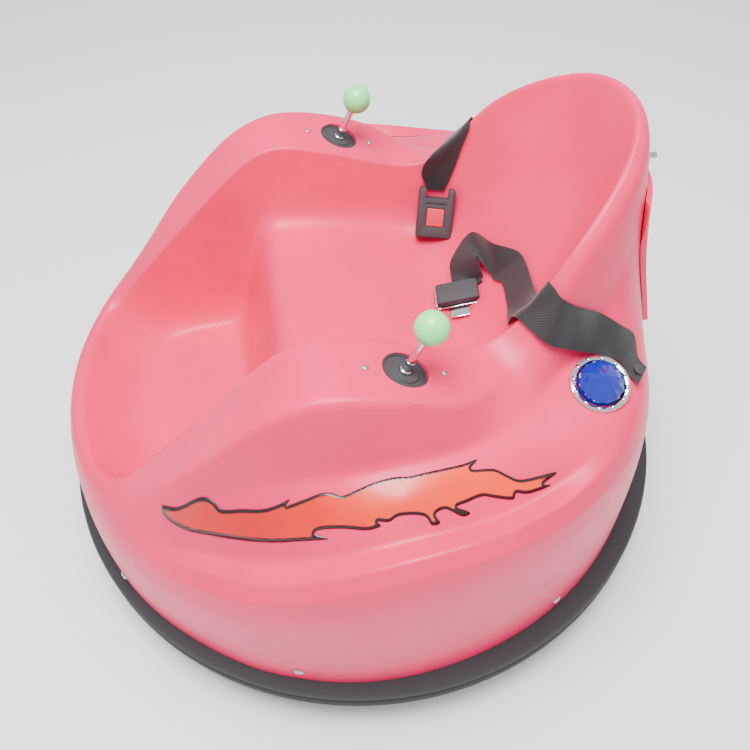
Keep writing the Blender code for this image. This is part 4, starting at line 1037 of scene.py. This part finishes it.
class BumperCarColours(bpy.types.PropertyGroup):
    moulding: tint("Moulding", "Colour of the tub and its hatch", "#EE1F5E")
    ring: tint("Ring", "Colour of the rubber ring", "#0D0D10")
    tyre: tint("Tyres", "Colour of the drive tyres", "#141416")
    plastic: tint("Plastic", "Colour of the black plastic parts", "#0A0A0C")
    knob: tint("Knobs", "Colour of the joystick balls", "#00C80C")
    button: tint("Button", "Colour of the buckle's button", "#C00018")
    chrome: tint("Chrome", "Tint of the chromed parts", "#DADCE0")
    zinc: tint("Zinc", "Tint of the zinc-plated parts", "#B9BBC0")
    paint: tint("Frame paint", "Colour of the frame", "#121214")
    hub: tint("Hubs", "Colour of the wheel hubs", "#8E9196")
    lens: tint("Lenses", "Colour of the lamp lenses", "#0A22A8")
    webbing: tint("Webbing", "Colour of the lap belt", "#111114")
    flame_root: tint("Flame root", "Colour of the flame at the front", "#D00006")
    flame_tip: tint("Flame tip", "Colour of the flame at the rear", "#F53A00")
    flame_line: tint("Flame outline", "Colour of the line round the flame", "#1C0308")
    floor: tint("Floor", "Colour of the studio floor", "#FDFDFD")


class BumperCarSizes(bpy.types.PropertyGroup):
    skirt_screw: bpy.props.FloatProperty(name="Skirt screw", description="Radius of the screws round the skirt",
                                         default=0.0058, min=0.003, max=0.008, unit="LENGTH")
    panel_screw: bpy.props.FloatProperty(name="Panel screw", description="Radius of the joystick plates' screws",
                                         default=0.0036, min=0.002, max=0.006, unit="LENGTH")
    lamp_power: bpy.props.FloatProperty(name="Lamp power", description="Power of the studio lamp in watts",
                                        default=80.0, min=1.0, max=400.0)
    sky: bpy.props.FloatProperty(name="Sky", description="Strength of the pale surroundings",
                                 default=1.0, min=0.0, max=3.0)


# --- Operators ----------------------------------------------------------------------------------

class BumperCarMoulding(bpy.types.Operator):
    """Build the moulded tub and its hatch"""
    bl_idname = "bumper_car.moulding"
    bl_label = "Moulding"

    def execute(self, context):
        make_shell(paint("moulded_pink"))
        return {"FINISHED"}


class BumperCarRing(bpy.types.Operator):
    """Build the rubber ring"""
    bl_idname = "bumper_car.ring"
    bl_label = "Rubber ring"

    def execute(self, context):
        make_ring(paint("ring_rubber"))
        return {"FINISHED"}


class BumperCarJoysticks(bpy.types.Operator):
    """Build both joysticks"""
    bl_idname = "bumper_car.joysticks"
    bl_label = "Joysticks"

    def execute(self, context):
        make_joysticks(paint("green_plastic"), paint("chrome"), paint("black_plastic"))
        return {"FINISHED"}


class BumperCarLamps(bpy.types.Operator):
    """Build both lamps"""
    bl_idname = "bumper_car.lamps"
    bl_label = "Lamps"

    def execute(self, context):
        make_lamps(paint("chrome"), paint("lens_blue"))
        return {"FINISHED"}


class BumperCarBelt(bpy.types.Operator):
    """Build the lap belt with its buckle, tongue and anchors"""
    bl_idname = "bumper_car.belt"
    bl_label = "Lap belt"

    def execute(self, context):
        make_belt(weave(), paint("black_plastic"), paint("red_plastic"), paint("chrome"))
        return {"FINISHED"}


class BumperCarDecals(bpy.types.Operator):
    """Lay the flame decals on both sides"""
    bl_idname = "bumper_car.decals"
    bl_label = "Flame decals"

    def execute(self, context):
        make_decals(vinyl())
        return {"FINISHED"}


class BumperCarScrews(bpy.types.Operator):
    """Set the screws round the skirt and beside the joysticks"""
    bl_idname = "bumper_car.screws"
    bl_label = "Screws"

    def execute(self, context):
        make_screws(paint("zinc"), context.scene.bumper_car_sizes)
        return {"FINISHED"}


class BumperCarHardware(bpy.types.Operator):
    """Finish the frame, motors, casters, hinge and latch"""
    bl_idname = "bumper_car.hardware"
    bl_label = "Hardware"

    def execute(self, context):
        make_hardware(paint("zinc"), paint("frame_paint"), paint("black_plastic"), paint("grey_plastic"))
        return {"FINISHED"}


class BumperCarTyres(bpy.types.Operator):
    """Build the drive tyres with their tread"""
    bl_idname = "bumper_car.tyres"
    bl_label = "Drive tyres"

    def execute(self, context):
        make_tyres(paint("tyre_rubber"))
        return {"FINISHED"}


class BumperCarStage(bpy.types.Operator):
    """Set up the camera, the floor and the light"""
    bl_idname = "bumper_car.stage"
    bl_label = "Stage"

    def execute(self, context):
        sizes = context.scene.bumper_car_sizes
        lens = bpy.data.cameras.new("camera")
        lens.lens, lens.sensor_width = 36.51, 36.0
        lens.dof.use_dof = False
        camera = link(bpy.data.objects.new("camera", lens))
        right = Vector((0.19010557, 0.98161556, -0.01705171))
        top = Vector((-0.75849989, 0.15787867, 0.63225963))
        back = Vector((0.62332799, -0.10726235, 0.77456891))
        turn = Matrix((right, top, back)).transposed().to_4x4()
        camera.matrix_world = Matrix.Translation((0.66508, -0.09390, 0.98829)) @ turn
        context.scene.camera = camera
        floor = box("studio_floor", (-8, -8, -0.02), (8, 8, 0.0))
        surface = bpy.data.materials.new("studio_floor")
        surface.use_nodes = True
        shader = surface.node_tree.nodes["Principled BSDF"]
        shader.inputs["Base Color"].default_value = tuple(colours().floor)
        shader.inputs["Roughness"].default_value = 0.9
        floor.data.materials.append(surface)
        light = bpy.data.lights.new("softbox", "AREA")
        light.shape, light.size, light.size_y = "RECTANGLE", 1.1, 1.1
        light.energy = sizes.lamp_power
        softbox = link(bpy.data.objects.new("softbox", light))
        spot = Vector((0.25, -0.15, 2.1))
        softbox.matrix_world = upright(spot, spot - Vector((0, 0, 0.2)))
        world = bpy.data.worlds.new("studio")
        world.use_nodes = True
        world.node_tree.nodes["Background"].inputs["Color"].default_value = linear("#FBFBFD")
        world.node_tree.nodes["Background"].inputs["Strength"].default_value = sizes.sky
        context.scene.world = world
        return {"FINISHED"}


class BumperCarPanel(bpy.types.Panel):
    bl_idname = "BUMPER_CAR_PT_panel"
    bl_label = "Bumper Car"
    bl_space_type = "VIEW_3D"
    bl_region_type = "UI"
    bl_category = "Bumper Car"

    def draw(self, context):
        for group in (context.scene.bumper_car_sizes, context.scene.bumper_car_colours):
            column = self.layout.column()
            for name in group.__annotations__:
                column.prop(group, name)
        for operator in OPERATORS:
            self.layout.operator(operator.bl_idname)


OPERATORS = (BumperCarMoulding, BumperCarRing, BumperCarJoysticks, BumperCarLamps, BumperCarBelt, BumperCarDecals,
             BumperCarScrews, BumperCarHardware, BumperCarTyres, BumperCarStage)
CLASSES = (BumperCarColours, BumperCarSizes, *OPERATORS, BumperCarPanel)


def register():
    for item in CLASSES:
        bpy.utils.register_class(item)
    bpy.types.Scene.bumper_car_colours = bpy.props.PointerProperty(type=BumperCarColours)
    bpy.types.Scene.bumper_car_sizes = bpy.props.PointerProperty(type=BumperCarSizes)


def unregister():
    del bpy.types.Scene.bumper_car_sizes
    del bpy.types.Scene.bumper_car_colours
    for item in reversed(CLASSES):
        bpy.utils.unregister_class(item)


def main():
    register()
    bpy.ops.bumper_car.moulding()
    bpy.ops.bumper_car.ring()
    bpy.ops.bumper_car.joysticks()
    bpy.ops.bumper_car.lamps()
    bpy.ops.bumper_car.belt()
    bpy.ops.bumper_car.decals()
    bpy.ops.bumper_car.screws()
    bpy.ops.bumper_car.hardware()
    bpy.ops.bumper_car.tyres()
    bpy.ops.bumper_car.stage()


if __name__ == "__main__":
    main()
